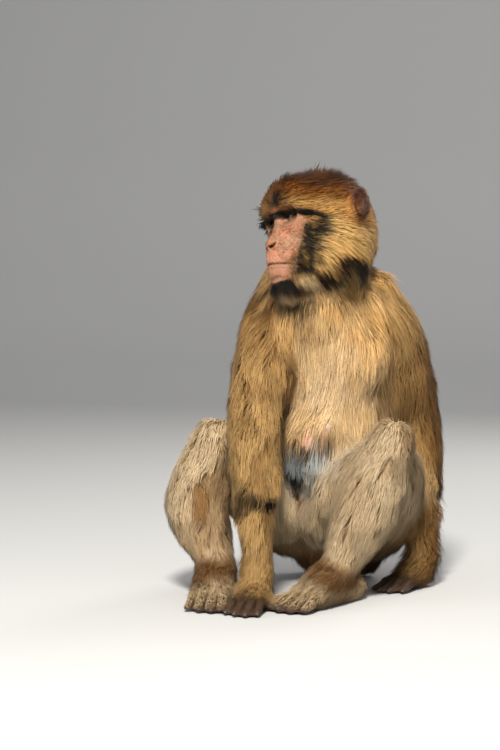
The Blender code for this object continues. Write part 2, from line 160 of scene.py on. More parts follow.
class Waves:
    """Soft seeded unevenness in space, as a sum of waves in many directions."""

    def __init__(self, seed: int, length: float, count: int = 24) -> None:
        """Picks the waves.

        Args:
            seed: Of the random directions.
            length: The mean length of a wave, in metres.
            count: How many waves are summed.
        """
        rng = np.random.default_rng(seed)
        self.heading = unit(rng.normal(size=(count, 3)))
        self.heading *= 2 * math.pi / (length * rng.uniform(0.6, 1.6, count))[:, None]
        self.phase = rng.uniform(0, 2 * math.pi, count)

    def at(self, points: Array) -> Array:
        """A number of about -1 to 1 for each point."""
        return np.sin(points @ self.heading.T + self.phase).sum(axis=1) / math.sqrt(len(self.phase))


# ---- meshes


@dataclass
class Skinwork:
    """A triangle or quad mesh as arrays, with what is worked out on it."""

    points: Array
    faces: list[tuple[int, ...]]

    @classmethod
    def of(cls, mesh: Mesh) -> Skinwork:
        """Reads a Blender mesh.

        Args:
            mesh: The mesh.

        Returns:
            Its points and faces.
        """
        points = np.empty(len(mesh.vertices) * 3)
        mesh.vertices.foreach_get("co", points)
        return cls(points.reshape(-1, 3), [tuple(p.vertices) for p in mesh.polygons])

    def links(self) -> Pair:
        """Both ends of every edge of every face, each way round."""
        starts, ends = [], []
        for face in self.faces:
            for a, b in zip(face, face[1:] + face[:1]):
                starts += (a, b)
                ends += (b, a)
        return np.array(starts), np.array(ends)


class Evener:
    """Averages values over the neighbours of each point of a mesh."""

    def __init__(self, work: Skinwork) -> None:
        """Finds the neighbours."""
        self.a, self.b = work.links()
        self.count = np.maximum(np.bincount(self.a, minlength=len(work.points)), 1)

    def mean(self, values: Array) -> Array:
        """The mean of each point's neighbours."""
        size = len(self.count)
        if values.ndim == 1:
            return np.bincount(self.a, values[self.b], size) / self.count
        columns = [np.bincount(self.a, values[self.b, k], size) for k in range(values.shape[1])]
        return np.stack(columns, axis=1) / self.count[:, None]

    def soften(self, values: Array, times: int, share: Any = 0.5) -> Array:
        """Smooths values several times.

        Args:
            values: One number or a row of them for each point.
            times: How often.
            share: How far each point goes towards its neighbours' mean, for all or for each.

        Returns:
            The smoothed values.
        """
        if isinstance(share, Array) and values.ndim == 2:
            share = share[:, None]
        for _ in range(times):
            values = values + (self.mean(values) - values) * share
        return values


def normals_of(points: Array, faces: Faces) -> Array:
    """The outward direction at each point of a mesh.

    Args:
        points: Its points.
        faces: Its faces, wound the outward way.

    Returns:
        A row of length 1 for each point.
    """
    tri = np.array([(f[0], f[i], f[i + 1]) for f in faces for i in range(1, len(f) - 1)])
    cross = np.cross(points[tri[:, 1]] - points[tri[:, 0]], points[tri[:, 2]] - points[tri[:, 0]])
    total = np.zeros_like(points)
    for k in range(3):
        for axis in range(3):
            total[:, axis] += np.bincount(tri[:, k], cross[:, axis], len(points))
    return unit(total)


def new_object(name: str, mesh: Mesh) -> Object:
    """Puts a mesh in the scene."""
    obj = bpy.data.objects.new(name, mesh)
    bpy.context.scene.collection.objects.link(obj)
    return obj


def object_from(name: str, points: Array, faces: Faces) -> Object:
    """Makes a smooth-shaded object of points and faces."""
    mesh = bpy.data.meshes.new(name)
    mesh.from_pydata(points.tolist(), [], faces)
    mesh.polygons.foreach_set("use_smooth", [True] * len(mesh.polygons))
    mesh.update()
    return new_object(name, mesh)


def settled(obj: Object) -> Object:
    """Applies an object's modifiers."""
    graph = bpy.context.evaluated_depsgraph_get()
    made = bpy.data.meshes.new_from_object(obj.evaluated_get(graph))
    obj.modifiers.clear()
    obj.data = made
    return obj


def store(mesh: Mesh, name: str, values: Array) -> None:
    """Keeps a number or a colour on every point of a mesh.

    Args:
        mesh: The mesh.
        name: What the finish calls it.
        values: One number, or a row of three, for each point.
    """
    if values.ndim == 1:
        mesh.attributes.new(name, "FLOAT", "POINT").data.foreach_set("value", values.astype(np.float32))
        return
    rows = np.ones((len(values), 4), np.float32)
    rows[:, :3] = values
    mesh.color_attributes.new(name, "FLOAT_COLOR", "POINT").data.foreach_set("color", rows.ravel())


# ---- finishes


@dataclass(frozen=True)
class Sock:
    """An output of a shader node, with sums that add Math nodes."""

    tree: Finish
    socket: Any

    def _math(self, operation: str, *terms: Any) -> Sock:
        """Adds a Math node on numbers or sockets."""
        return self.tree.node("ShaderNodeMath", {"operation": operation}, dict(enumerate(terms)))

    def __add__(self, other: Any) -> Sock:
        """Sum."""
        return self._math("ADD", self, other)

    def __radd__(self, other: Any) -> Sock:
        """Sum."""
        return self._math("ADD", other, self)

    def __sub__(self, other: Any) -> Sock:
        """Difference."""
        return self._math("SUBTRACT", self, other)

    def __rsub__(self, other: Any) -> Sock:
        """Difference."""
        return self._math("SUBTRACT", other, self)

    def __mul__(self, other: Any) -> Sock:
        """Product."""
        return self._math("MULTIPLY", self, other)

    def __rmul__(self, other: Any) -> Sock:
        """Product."""
        return self._math("MULTIPLY", other, self)

    def between(self, low: float, high: float) -> Sock:
        """0 where the value is below low, 1 above high, smooth between."""
        settings = {"interpolation_type": "SMOOTHSTEP"}
        values = {"Value": self, "From Min": low, "From Max": high}
        return self.tree.node("ShaderNodeMapRange", settings, values)


class Finish:
    """A procedural material in the making."""

    def __init__(self, name: str) -> None:
        """Starts an empty node tree with an output and a Principled shader."""
        self.material = bpy.data.materials.new(name)
        self.material.use_nodes = True
        self.nodes = self.material.node_tree.nodes
        self.links = self.material.node_tree.links
        self.shader = self.nodes["Principled BSDF"]

    def node(self, kind: str, settings: dict[str, Any], values: dict[Any, Any], out: Any = 0) -> Sock:
        """Adds one node.

        Args:
            kind: The node's type.
            settings: Its own properties; "stops" sets a ramp's places and colours.
            values: A number, colour or socket for each of its inputs, by name or place.
            out: The output wanted, by name or place.

        Returns:
            That output.
        """
        made = self.nodes.new(kind)
        for key, value in settings.items():
            if key == "stops":
                for stop, (place, colour) in zip(self._stops(made, len(value)), value):
                    stop.position = place
                    stop.color = (*colour, 1.0)
            else:
                setattr(made, key, value)
        for key, value in values.items():
            self.feed(made.inputs[key], value)
        return Sock(self, made.outputs[out])

    @staticmethod
    def _stops(made: bpy.types.Node, count: int) -> Any:
        """Gives a ramp as many stops as asked."""
        stops = made.color_ramp.elements
        while len(stops) < count:
            stops.new(0.5)
        return stops

    def feed(self, place: Any, value: Any) -> None:
        """Links a socket to an input, or sets its value."""
        if isinstance(value, Sock):
            self.links.new(value.socket, place)
        else:
            place.default_value = value

    def set(self, **values: Any) -> None:
        """Sets or links the Principled shader's own inputs; underscores stand for spaces."""
        for key, value in values.items():
            self.feed(self.shader.inputs[key.replace("_", " ")], value)

    def stored(self, name: str, colour: bool = False) -> Sock:
        """What the mesh keeps under a name."""
        settings = {"attribute_name": name}
        return self.node("ShaderNodeAttribute", settings, {}, "Color" if colour else "Fac")

    def place(self) -> Sock:
        """The point's own place on the model."""
        return self.node("ShaderNodeTexCoord", {}, {}, "Object")

    def noise(self, scale: float, detail: float = 3.0, rough: float = 0.5) -> Sock:
        """Cloudy noise from 0 to 1, with scale in waves for each metre."""
        values = {"Vector": self.place(), "Scale": scale, "Detail": detail, "Roughness": rough}
        return self.node("ShaderNodeTexNoise", {}, values)

    def cells(self, scale: float) -> Sock:
        """Distances within a pattern of cells."""
        return self.node("ShaderNodeTexVoronoi", {}, {"Vector": self.place(), "Scale": scale}, "Distance")

    def mix(self, share: Any, a: Any, b: Any, blend: str = "MIX") -> Sock:
        """Mixes two colours."""
        settings = {"data_type": "RGBA", "blend_type": blend}
        colours = [(*map(float, c), 1.0) if not isinstance(c, Sock) else c for c in (a, b)]
        return self.node("ShaderNodeMix", settings, {0: share, 6: colours[0], 7: colours[1]}, 2)

    def shade(self, colour: Sock, level: Sock) -> Sock:
        """Darkens or lightens a colour by a level."""
        grey = self.node("ShaderNodeCombineColor", {}, dict.fromkeys(("Red", "Green", "Blue"), level))
        return self.mix(1.0, colour, grey, "MULTIPLY")

    def bump(self, height: Sock, depth: float, strength: float = 1.0) -> None:
        """Feeds the shader's normal from a height of 0 to 1."""
        values = {"Height": height, "Distance": depth, "Strength": strength}
        self.set(Normal=self.node("ShaderNodeBump", {}, values))


@dataclass(frozen=True)
class CoatFinish:
    """Hair: its colour is kept on the tufts, with fine streaks and a soft gloss."""

    streak: float = 0.22
    cloud: float = 0.18
    roughness: float = 0.62

    def make(self) -> Material:
        """Builds the material."""
        f = Finish("coat")
        fine = f.noise(900.0, 2.0)
        broad = f.noise(70.0, 3.0)
        level = fine * self.streak + broad * self.cloud + (1.0 - (self.streak + self.cloud) / 2)
        f.set(Base_Color=f.shade(f.stored("tint", True), level))
        f.set(Roughness=self.roughness + (fine - 0.5) * 0.25)
        f.set(Specular_IOR_Level=0.11, Sheen_Weight=0.03, Sheen_Roughness=0.45)
        f.bump(fine, 0.0004, 0.4)
        return f.material


@dataclass(frozen=True)
class HideFinish:
    """Skin: bare and freckled on the face, leathery on the paws, and darkened under the coat as painted
    shade.
    """

    freckle: Triple = srgb(116, 60, 32)
    flush: Triple = srgb(196, 112, 92)

    def make(self) -> Material:
        """Builds the material."""
        f = Finish("skin")
        bare = f.stored("bare")
        spots = f.noise(230.0, 5.0, 0.68).between(0.47, 0.6) * f.stored("freckled")
        blotch = f.noise(95.0, 3.0).between(0.42, 0.7)
        colour = f.mix(blotch * bare * 0.3, f.stored("tint", True), self.flush)
        colour = f.mix(spots * 0.8, colour, self.freckle)
        level = f.noise(600.0, 2.0) * 0.24 + 0.88
        f.set(Base_Color=f.shade(colour, level))
        f.set(Roughness=0.66 - bare * 0.14 + (f.noise(400.0) - 0.5) * 0.2)
        f.set(Specular_IOR_Level=0.28, Subsurface_Weight=0.06, Subsurface_Scale=0.004)
        pores = f.cells(900.0) * 0.55 + f.noise(420.0, 4.0) * 0.75 + f.noise(130.0, 3.0) * 0.6
        f.bump(pores, 0.0007, 0.4)
        return f.material


@dataclass(frozen=True)
class EyeFinish:
    """The eye: black pupil, amber iris with rays, and a dark brown white."""

    iris: Triple = srgb(118, 68, 30)
    rim: Triple = srgb(48, 26, 14)
    white: Triple = srgb(92, 62, 46)

    def make(self) -> Material:
        """Builds the material."""
        f = Finish("eye")
        off = f.stored("off_axis")
        rays = f.noise(1600.0, 3.0)
        iris = f.mix(rays, self.rim, self.iris)
        iris = f.mix(off.between(0.42, 0.56), iris, self.rim)
        colour = f.mix(off.between(0.53, 0.6), iris, self.white)
        colour = f.mix(off.between(0.19, 0.23), (0.004, 0.003, 0.003), colour)
        f.set(Base_Color=colour, Roughness=0.05 + f.noise(300.0) * 0.05)
        f.set(Coat_Weight=1.0, Coat_Roughness=0.03, Specular_IOR_Level=0.6)
        return f.material


@dataclass(frozen=True)
class NailFinish:
    """Dark horn with lengthwise streaks."""

    dark: Triple = srgb(38, 30, 26)
    pale: Triple = srgb(104, 86, 72)

    def make(self) -> Material:
        """Builds the material."""
        f = Finish("nail")
        streaks = f.noise(1100.0, 3.0)
        f.set(Base_Color=f.mix(streaks.between(0.4, 0.75), self.dark, self.pale))
        f.set(Roughness=0.34 + streaks * 0.2, Specular_IOR_Level=0.5)
        f.bump(streaks, 0.0003, 0.5)
        return f.material


@dataclass(frozen=True)
class FloorFinish:
    """Pale matt studio floor."""

    tone: Triple = srgb(190, 191, 191)

    def make(self) -> Material:
        """Builds the material."""
        f = Finish("studio_floor")
        cloud = f.noise(3.0, 2.0)
        f.set(Base_Color=f.mix(cloud * 0.12, self.tone, tuple(0.92 * c for c in self.tone)))
        f.set(Roughness=0.9 + (f.noise(40.0) - 0.5) * 0.1, Specular_IOR_Level=0.2)
        return f.material


# ---- places on the body


def node_points(name: str) -> Array:
    """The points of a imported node."""
    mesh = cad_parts[name].data
    points = np.empty(len(mesh.vertices) * 3)
    mesh.vertices.foreach_get("co", points)
    return points.reshape(-1, 3)


def tree_of(*names: str) -> tuple[BVHTree, list[str]]:
    """A search tree over the faces of some nodes, and the node that each face is from."""
    points: list[Sequence[float]] = []
    faces: list[tuple[int, ...]] = []
    owners: list[str] = []
    for name in names:
        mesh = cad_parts[name].data
        first = len(points)
        points += [tuple(v.co) for v in mesh.vertices]
        faces += [tuple(first + i for i in p.vertices) for p in mesh.polygons]
        owners += [name] * len(mesh.polygons)
    return BVHTree.FromPolygons(points, faces), owners


def meeting(a: str, b: str, reach: float = 0.0012) -> Array:
    """The middle of where one node meets another."""
    tree, _ = tree_of(b)
    near = [p for p in node_points(a) if tree.find_nearest(Vector(p), reach)[0] is not None]
    return np.mean(near, axis=0)


def far_end(node: str, start: Array, share: float) -> Array:
    """The middle of a node's points that lie furthest from a place."""
    points = node_points(node)
    away = span(points - start)
    return points[away > np.quantile(away, 1 - share)].mean(axis=0)


@dataclass(frozen=True)
class Digit:
    """One finger or toe: its knuckle's place in the paw, its spread and length."""

    across: float
    ahead: float
    spread: float
    length: float
    girth: float

    def line(self, joint: Array, turn: float, inward: float) -> Pair:
        """Its knuckle and its tip, over the floor.

        Args:
            joint: The wrist or ankle.
            turn: The paw's heading, in degrees to the animal's left of straight ahead.
            inward: Which way is inward: 1 is the animal's left.

        Returns:
            Both places, at the height of the digit's middle.
        """
        spin, own = math.radians(turn), math.radians(inward * self.spread)
        found = []
        for reach in (0.0, self.length):
            x = inward * self.across + math.sin(own) * reach
            y = -self.ahead - math.cos(own) * reach
            place = (x * math.cos(spin) - y * math.sin(spin), x * math.sin(spin) + y * math.cos(spin))
            found.append(np.array((joint[0] + place[0], joint[1] + place[1], self.girth)))
        return found[0], found[1]


def digits_of(kind: str) -> list[Digit]:
    """The fingers of a hand or the toes of a foot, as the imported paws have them.

    Args:
        kind: Which paw: hand or foot.

    Returns:
        The digits, with the thumb or big toe last.
    """
    if kind == "foot":
        rows = [Digit(0.018 - 0.012 * k, 0.066, spread, length, 0.0072)
                for k, (length, spread) in enumerate(((0.042, 4), (0.047, 1), (0.044, -3), (0.035, -8)))]
        return rows + [Digit(0.022, 0.032, 34, 0.04, 0.0088)]
    rows = [Digit(0.0155 - 0.0104 * k, 0.044, spread, length, 0.0064)
            for k, (length, spread) in enumerate(((0.04, 5), (0.046, 1), (0.043, -3), (0.034, -8)))]
    return rows + [Digit(0.017, 0.016, 36, 0.03, 0.0068)]


PAW_TURN = {"hand_left": -20.0, "hand_right": 5.0, "foot_left": -21.0, "foot_right": 12.0}


@dataclass
class HeadFrame:
    """The head's own axes: x to its left, y to the back, z up, found from its two eyes."""

    raised: float = 3.0
    eye_back: float = -0.0452
    eye_up: float = 0.0192
    turn: Array = field(init=False)
    origin: Array = field(init=False)
    eye: BySide = field(init=False)
    eye_radius: float = field(init=False)

    def __post_init__(self) -> None:
        """Reads the eyes' places."""
        boxes = {side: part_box(f"eye_{side}") for side in SIDES}
        self.eye = {side: np.array((lo + hi) / 2) for side, (lo, hi) in boxes.items()}
        lo, hi = boxes["left"]
        self.eye_radius = (hi.z - lo.z) / 2
        x = unit(self.eye["left"] - self.eye["right"])
        y = unit(np.cross((0, 0, 1), x))
        z = np.cross(x, y)
        a = math.radians(-self.raised)
        back, up = y * math.cos(a) + z * math.sin(a), z * math.cos(a) - y * math.sin(a)
        self.turn = np.stack((x, back, up), axis=1)
        middle = (self.eye["left"] + self.eye["right"]) / 2
        self.origin = middle - self.turn @ np.array((0, self.eye_back, self.eye_up))

    def local(self, points: Array) -> Array:
        """World points in the head's axes."""
        return (points - self.origin) @ self.turn

    def world(self, points: Array) -> Array:
        """Points in the head's axes, back in the world."""
        return points @ self.turn.T + self.origin

    def matrix(self) -> Matrix:
        """The head's place and turn as a matrix."""
        rows = np.eye(4)
        rows[:3, :3] = self.turn
        rows[:3, 3] = self.origin
        return Matrix(rows.tolist())


class Body:
    """Joints and headings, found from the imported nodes."""

    end_share = 0.22  # of a limb's points, for the middle of its far end
    fold_height = 0.202
    fringe_height = 0.173
    belly_crease = 0.1355
    crotch_height = 0.11
    fold_line = ((-0.013, -0.006), (0.002, 0.0000), (0.0165, 0.0085))  # aside and up from its middle

    def __init__(self) -> None:
        """Finds them."""
        self.head = HeadFrame()
        self.wrist = {side: meeting(f"hand_{side}", f"forearm_{side}") for side in SIDES}
        self.elbow = {side: meeting(f"forearm_{side}", f"upper_arm_{side}") for side in SIDES}
        self.ankle = {side: meeting(f"foot_{side}", f"shin_{side}") for side in SIDES}
        self.knee = self._far_ends("shin", self.ankle)
        self.shoulder = self._far_ends("upper_arm", self.elbow)
        self.hip = self._far_ends("thigh", self.knee)
        self.trunk_low, self.trunk_high = (np.array(c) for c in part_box("trunk"))
        self.middle_x = (self.knee["left"][0] + self.knee["right"][0]) / 2
        self.digit_lines: list[tuple[Array, Array, Digit]] = []
        for paw, turn in PAW_TURN.items():
            kind, side = paw.split("_")
            joint = (self.wrist if kind == "hand" else self.ankle)[side]
            for digit in digits_of(kind):
                self.digit_lines.append((*digit.line(joint, turn, -OUTWARD[side]), digit))
        self.fold = self._on_front(self.middle_x, self.fold_height)
        self.crotch = self._on_front(self.middle_x - 0.02, self.crotch_height)

    def _far_ends(self, limb: str, start: BySide) -> BySide:
        """The far end of a limb on each side, from the joint at its near end."""
        return {side: far_end(f"{limb}_{side}", start[side], self.end_share) for side in SIDES}

    def _on_front(self, x: float, z: float) -> Array:
        """The place on the trunk's front at some x and height."""
        before = Vector((x, self.trunk_low[1] - 0.1, z))
        return np.array(tree_of("trunk")[0].ray_cast(before, Vector((0, 1, 0)))[0])

    def breast(self) -> list[tuple[Vector, Triple]]:
        """The bare fold and teat on the lower chest, as ovals with half sizes."""
        x, y, z = self.fold
        sizes = ((0.015, 0.011, 0.013), (0.017, 0.011, 0.012), (0.011, 0.0095, 0.01))
        ovals = [(Vector((x + a, y + 0.008, z + b)), half) for (a, b), half in zip(self.fold_line, sizes)]
        return ovals + [(Vector((x + 0.0225, y + 0.004, z + 0.0095)), (0.0042, 0.008, 0.0075))]

    def on_breast(self, points: Array) -> Array:
        """How far points lie on the bare fold, from 0 to 1."""
        x, _, z = self.fold
        flat = points * (1.0, 0.35, 1.0)
        line = [(x + a, 0.35 * self.fold[1], z + b) for a, b in (*self.fold_line, (0.023, 0.012))]
        return fade(-to_line(flat, line)[0], -0.017, -0.0105)

    def on_teat(self, points: Array) -> Array:
        """How far points lie on the teat, from 0 to 1."""
        away = (points - self.fold - (0.023, 0.0, 0.01)) / (0.0055, 0.03, 0.0085)
        return fade(-span(away), -1.15, -0.75)

    def belly(self, points: Array) -> Array:
        """How far points lie on the belly below the breast, from 0 to 1."""
        front = fade(-points[:, 1], -self.trunk_low[1] - 0.075, -self.trunk_low[1] - 0.04)
        return front * fade(-points[:, 2], -0.171, -0.158)

    def off_digits(self, points: Array) -> Array:
        """How far points lie, over the floor, from the middle of the nearest digit, in its half widths."""
        floor = np.array((1, 1, 0))
        away = [to_line(points * floor, (a * floor, b * floor))[0] / d.girth for a, b, d in self.digit_lines]
        return np.min(away, axis=0)

    def from_joint(self, joints: BySide, points: Array) -> Array:
        """How far points lie, over the floor, from the nearer of a pair of joints."""
        return np.minimum(*(span((points - joints[side])[:, :2]) for side in SIDES))


# ---- the skin


@dataclass
class Hide:
    """The one skin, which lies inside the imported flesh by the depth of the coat."""

    voxel: float = 0.0022
    lid: float = 0.0013
    keep_under_coat: float = 0.19
    depth: dict[Region, float] = field(default_factory=lambda: {
        Region.HEAD: 0.0085,
        Region.EAR: 0.0003,
        Region.NECK: 0.012,
        Region.TRUNK: 0.0115,
        Region.UPPER_ARM: 0.0095,
        Region.FOREARM: 0.0075,
        Region.HAND: 0.003,
        Region.THIGH: 0.009,
        Region.SHIN: 0.0062,
        Region.FOOT: 0.0048,
    })
    passes: tuple[float, ...] = (0.0, 0.2)

    def build(self, body: Body) -> Hide:
        """Makes the skin's mesh and what the coat needs to know of it.

        Args:
            body: The body's joints and head frame.

        Returns:
            This skin.
        """
        self.body = body
        self._fuse()
        self._find_regions()
        self._draw_in()
        self._thin_out()
        self._refine_bare_parts()
        self._part_digits()
        Face(self).shape()
        self.normals = normals_of(self.work.points, self.work.faces)
        return self

    def _fuse(self) -> None:
        """Joins the flesh nodes, lids and features into one closed skin."""
        bm = bmesh.new()
        for name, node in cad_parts.items():
            if name not in EYE_NODES:
                bm.from_mesh(node.data)
        place = self.body.head.matrix()
        masses = Face.masses(self.body.head, self.lid)
        ovals = [(place @ Matrix.Translation(c), h) for c, h in masses]
        ovals += [(Matrix.Translation(c), h) for c, h in self.body.breast()]
        for matrix, halves in ovals:
            matrix = matrix @ Matrix.Diagonal((*halves, 1))
            bmesh.ops.create_uvsphere(bm, u_segments=24, v_segments=16, radius=1, matrix=matrix)
        mesh = bpy.data.meshes.new("fused")
        bm.to_mesh(mesh)
        bm.free()
        obj = new_object("fused", mesh)
        fuse = obj.modifiers.new("fuse", "REMESH")
        fuse.mode = "VOXEL"
        fuse.voxel_size = self.voxel
        self.work = Skinwork.of(settled(obj).data)
        bpy.data.objects.remove(obj)

    def _find_regions(self) -> None:
        """Weighs each point by the regions that it lies in."""
        tree, owners = tree_of(*NODE_REGION)
        region = [NODE_REGION[name].value for name in owners]
        found = np.array([region[tree.find_nearest(Vector(p))[2]] for p in self.work.points])
        weights = np.eye(len(Region))[found]
        self.evener = Evener(self.work)
        self.weights = self.evener.soften(weights, 14, 0.7)

    def share(self, *regions: Region) -> Array:
        """How much of each point belongs to some regions, from 0 to 1."""
        return sum(self.weights[:, region.value] for region in regions)

    def _draw_in(self) -> None:
        """Smooths the skin and draws it in by the coat's depth."""
        points = self.work.points
        bare = np.clip(self._bareness(points), 0, 1)
        delicate = np.clip(bare + self.share(Region.HAND, Region.FOOT, Region.EAR), 0, 1)
        points = self.evener.soften(points, 3, 0.5)
        points = self.evener.soften(points, 12, 0.5 * (1 - delicate))
        depth = sum(self.weights[:, r.value] * d for r, d in self.depth.items()) * (1 - bare)
        local = self.body.head.local(points)
        on_head = self.share(Region.HEAD)
        muzzle = fade(-local[:, 1], 0.035, 0.06) * on_head
        depth *= 1 - 0.55 * muzzle
        depth *= 1 - 0.55 * self.body.belly(points) * self.share(Region.TRUNK)
        depth *= 1 - 0.5 * self.body.on_breast(points)
        for region, joints, knuckles in self.paws():
            ahead = self.body.from_joint(joints, points)
            depth *= 1 - 0.75 * self.share(region) * fade(ahead, knuckles - 0.012, knuckles + 0.012)
        depth = self.evener.soften(depth, 10, 0.6)
        out = self.evener.soften(normals_of(points, self.work.faces), 4, 0.5)
        drawn = points - unit(out) * depth[:, None]
        drawn = self.evener.soften(drawn, 6, 0.4 * (1 - delicate))
        drawn[:, 2] = np.maximum(drawn[:, 2], 0.0006)
        self.work.points = drawn
        self.soft_depth = depth

    def paws(self) -> tuple[tuple[Region, BySide, float], ...]:
        """The hands and feet: region, joints, and how far ahead of them the knuckles are."""
        return (Region.HAND, self.body.wrist, 0.05), (Region.FOOT, self.body.ankle, 0.074)

    def _bareness(self, points: Array) -> Array:
        """Where the face is bare, from 0 to 1."""
        return Face.bare(self.body.head.local(points)) * fade(self.share(Region.HEAD), 0.3, 0.6)

    def _thin_out(self) -> None:
        """Takes needless faces from the skin under the coat."""
        obj = self._written("thinning")
        paws_and_ears = self.share(Region.HAND, Region.FOOT, Region.EAR)
        need = np.clip(self._bareness(self.work.points) * 2 + paws_and_ears * 1.6, 0, 1)
        local = self.body.head.local(self.work.points)
        need = np.maximum(need, self.share(Region.HEAD) * fade(-local[:, 1], 0.02, 0.04))
        group = obj.vertex_groups.new(name="thin")
        for level in range(11):
            chosen = np.flatnonzero(np.round(need * 10).astype(int) == level).tolist()
            if chosen:
                group.add(chosen, 1 - level / 10, "REPLACE")
        fewer = obj.modifiers.new("fewer", "DECIMATE")
        fewer.ratio = self.keep_under_coat
        fewer.vertex_group = "thin"
        fewer.vertex_group_factor = 1.0
        settled(obj)
        self._reread(obj)

    def _written(self, name: str) -> Object:
        """An object of the skin so far, with its regions and depth kept on its points."""
        obj = object_from(name, self.work.points, self.work.faces)
        for region in Region:
            store(obj.data, region.name, self.weights[:, region.value])
        store(obj.data, "soft_depth", np.asarray(self.soft_depth))
        return obj

    def _reread(self, obj: Object) -> None:
        """Takes the skin and its regions from an object, and removes that.

        Args:
            obj: The object, as _written made it.
        """

        def kept(name: str) -> Array:
            """The numbers that the points keep under a name."""
            column = np.empty(len(obj.data.vertices), np.float32)
            obj.data.attributes[name].data.foreach_get("value", column)
            return column

        self.work = Skinwork.of(obj.data)
        self.weights = np.stack([kept(region.name).astype(float) for region in Region], axis=1)
        self.soft_depth = kept("soft_depth")
        bpy.data.objects.remove(obj)
        self.evener = Evener(self.work)

    def _on_digits(self) -> Array:
        """Which points lie on the fingers and toes."""
        found = np.zeros(len(self.work.points), bool)
        for region, joints, knuckles in self.paws():
            ahead = self.body.from_joint(joints, self.work.points)
            found |= (self.share(region) > 0.5) & (ahead > knuckles - 0.012)
        return found & (self.work.points[:, 2] > 0.004)

    def _refine_bare_parts(self) -> None:
        """Gives the face, and then the middle of it, finer faces to be shaped."""
        for level in self.passes:
            chosen = self._detail() > 0.25 + level
            if level == 0.0:
                chosen |= (self.share(Region.EAR) > 0.5) | self._on_digits()
            obj = self._written("refining")
            bm = bmesh.new()
            bm.from_mesh(obj.data)
            bm.verts.ensure_lookup_table()
            edges = [e for e in bm.edges if all(chosen[v.index] for v in e.verts)]
            bmesh.ops.subdivide_edges(bm, edges=edges, cuts=1, use_grid_fill=True)
            bmesh.ops.triangulate(bm, faces=[f for f in bm.faces if len(f.verts) > 4])
            bm.to_mesh(obj.data)
            bm.free()
            self._reread(obj)
            near = np.maximum(self._detail(), self.share(Region.HAND, Region.FOOT, Region.EAR))
            self.work.points = self.evener.soften(self.work.points, 3, 0.5 * fade(near, 0.1, 0.5))

    def _detail(self) -> Array:
        """Where the face needs fine shapes, from 0 to 1."""
        return Face.detail(self.body.head.local(self.work.points)) * fade(self.share(Region.HEAD), 0.2, 0.5)

    def _part_digits(self) -> None:
        """Deepens the gaps between fingers and between toes."""
        points = self.work.points
        off = self.body.off_digits(points)
        for region, joints, knuckles in self.paws():
            ahead = fade(self.body.from_joint(joints, points), knuckles - 0.014, knuckles + 0.006)
            gap = fade(off, 0.46, 0.86) * ahead * fade(self.share(region), 0.3, 0.6)
            points[:, 2] -= 0.6 * gap * np.maximum(points[:, 2] - 0.003, 0)

    def finish(self, markings: Markings) -> Object:
        """Makes the skin's object, with its colours and its unwrap.

        Args:
            markings: The colours of skin and coat.

        Returns:
            The object.
        """
        obj = object_from("skin", self.work.points, self.work.faces)
        store(obj.data, "tint", markings.skin)
        store(obj.data, "bare", markings.bare)
        store(obj.data, "freckled", markings.freckled)
        obj.data.materials.append(HideFinish().make())
        self._unwrap(obj)
        flesh = [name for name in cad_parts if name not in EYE_NODES]
        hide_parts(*flesh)
        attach(obj, "root")
        return obj

    def _unwrap(self, obj: Object) -> None:
        """Unwraps the skin, and keeps each corner's place for the coat.

        Args:
            obj: The skin.
        """
        bpy.ops.object.select_all(action="DESELECT")
        obj.select_set(True)
        bpy.context.view_layer.objects.active = obj
        bpy.ops.object.mode_set(mode="EDIT")
        bpy.ops.mesh.select_all(action="SELECT")
        bpy.ops.uv.smart_project(angle_limit=math.radians(66), island_margin=0.002)
        bpy.ops.object.mode_set(mode="OBJECT")
        layer = obj.data.uv_layers.active
        layer.name = "OFBake"
        corners = np.empty(len(obj.data.loops) * 2)
        layer.uv.foreach_get("vector", corners)
        self.uv = corners.reshape(-1, 2)
        self.loop_start = np.empty(len(obj.data.polygons), int)
        obj.data.polygons.foreach_get("loop_start", self.loop_start)


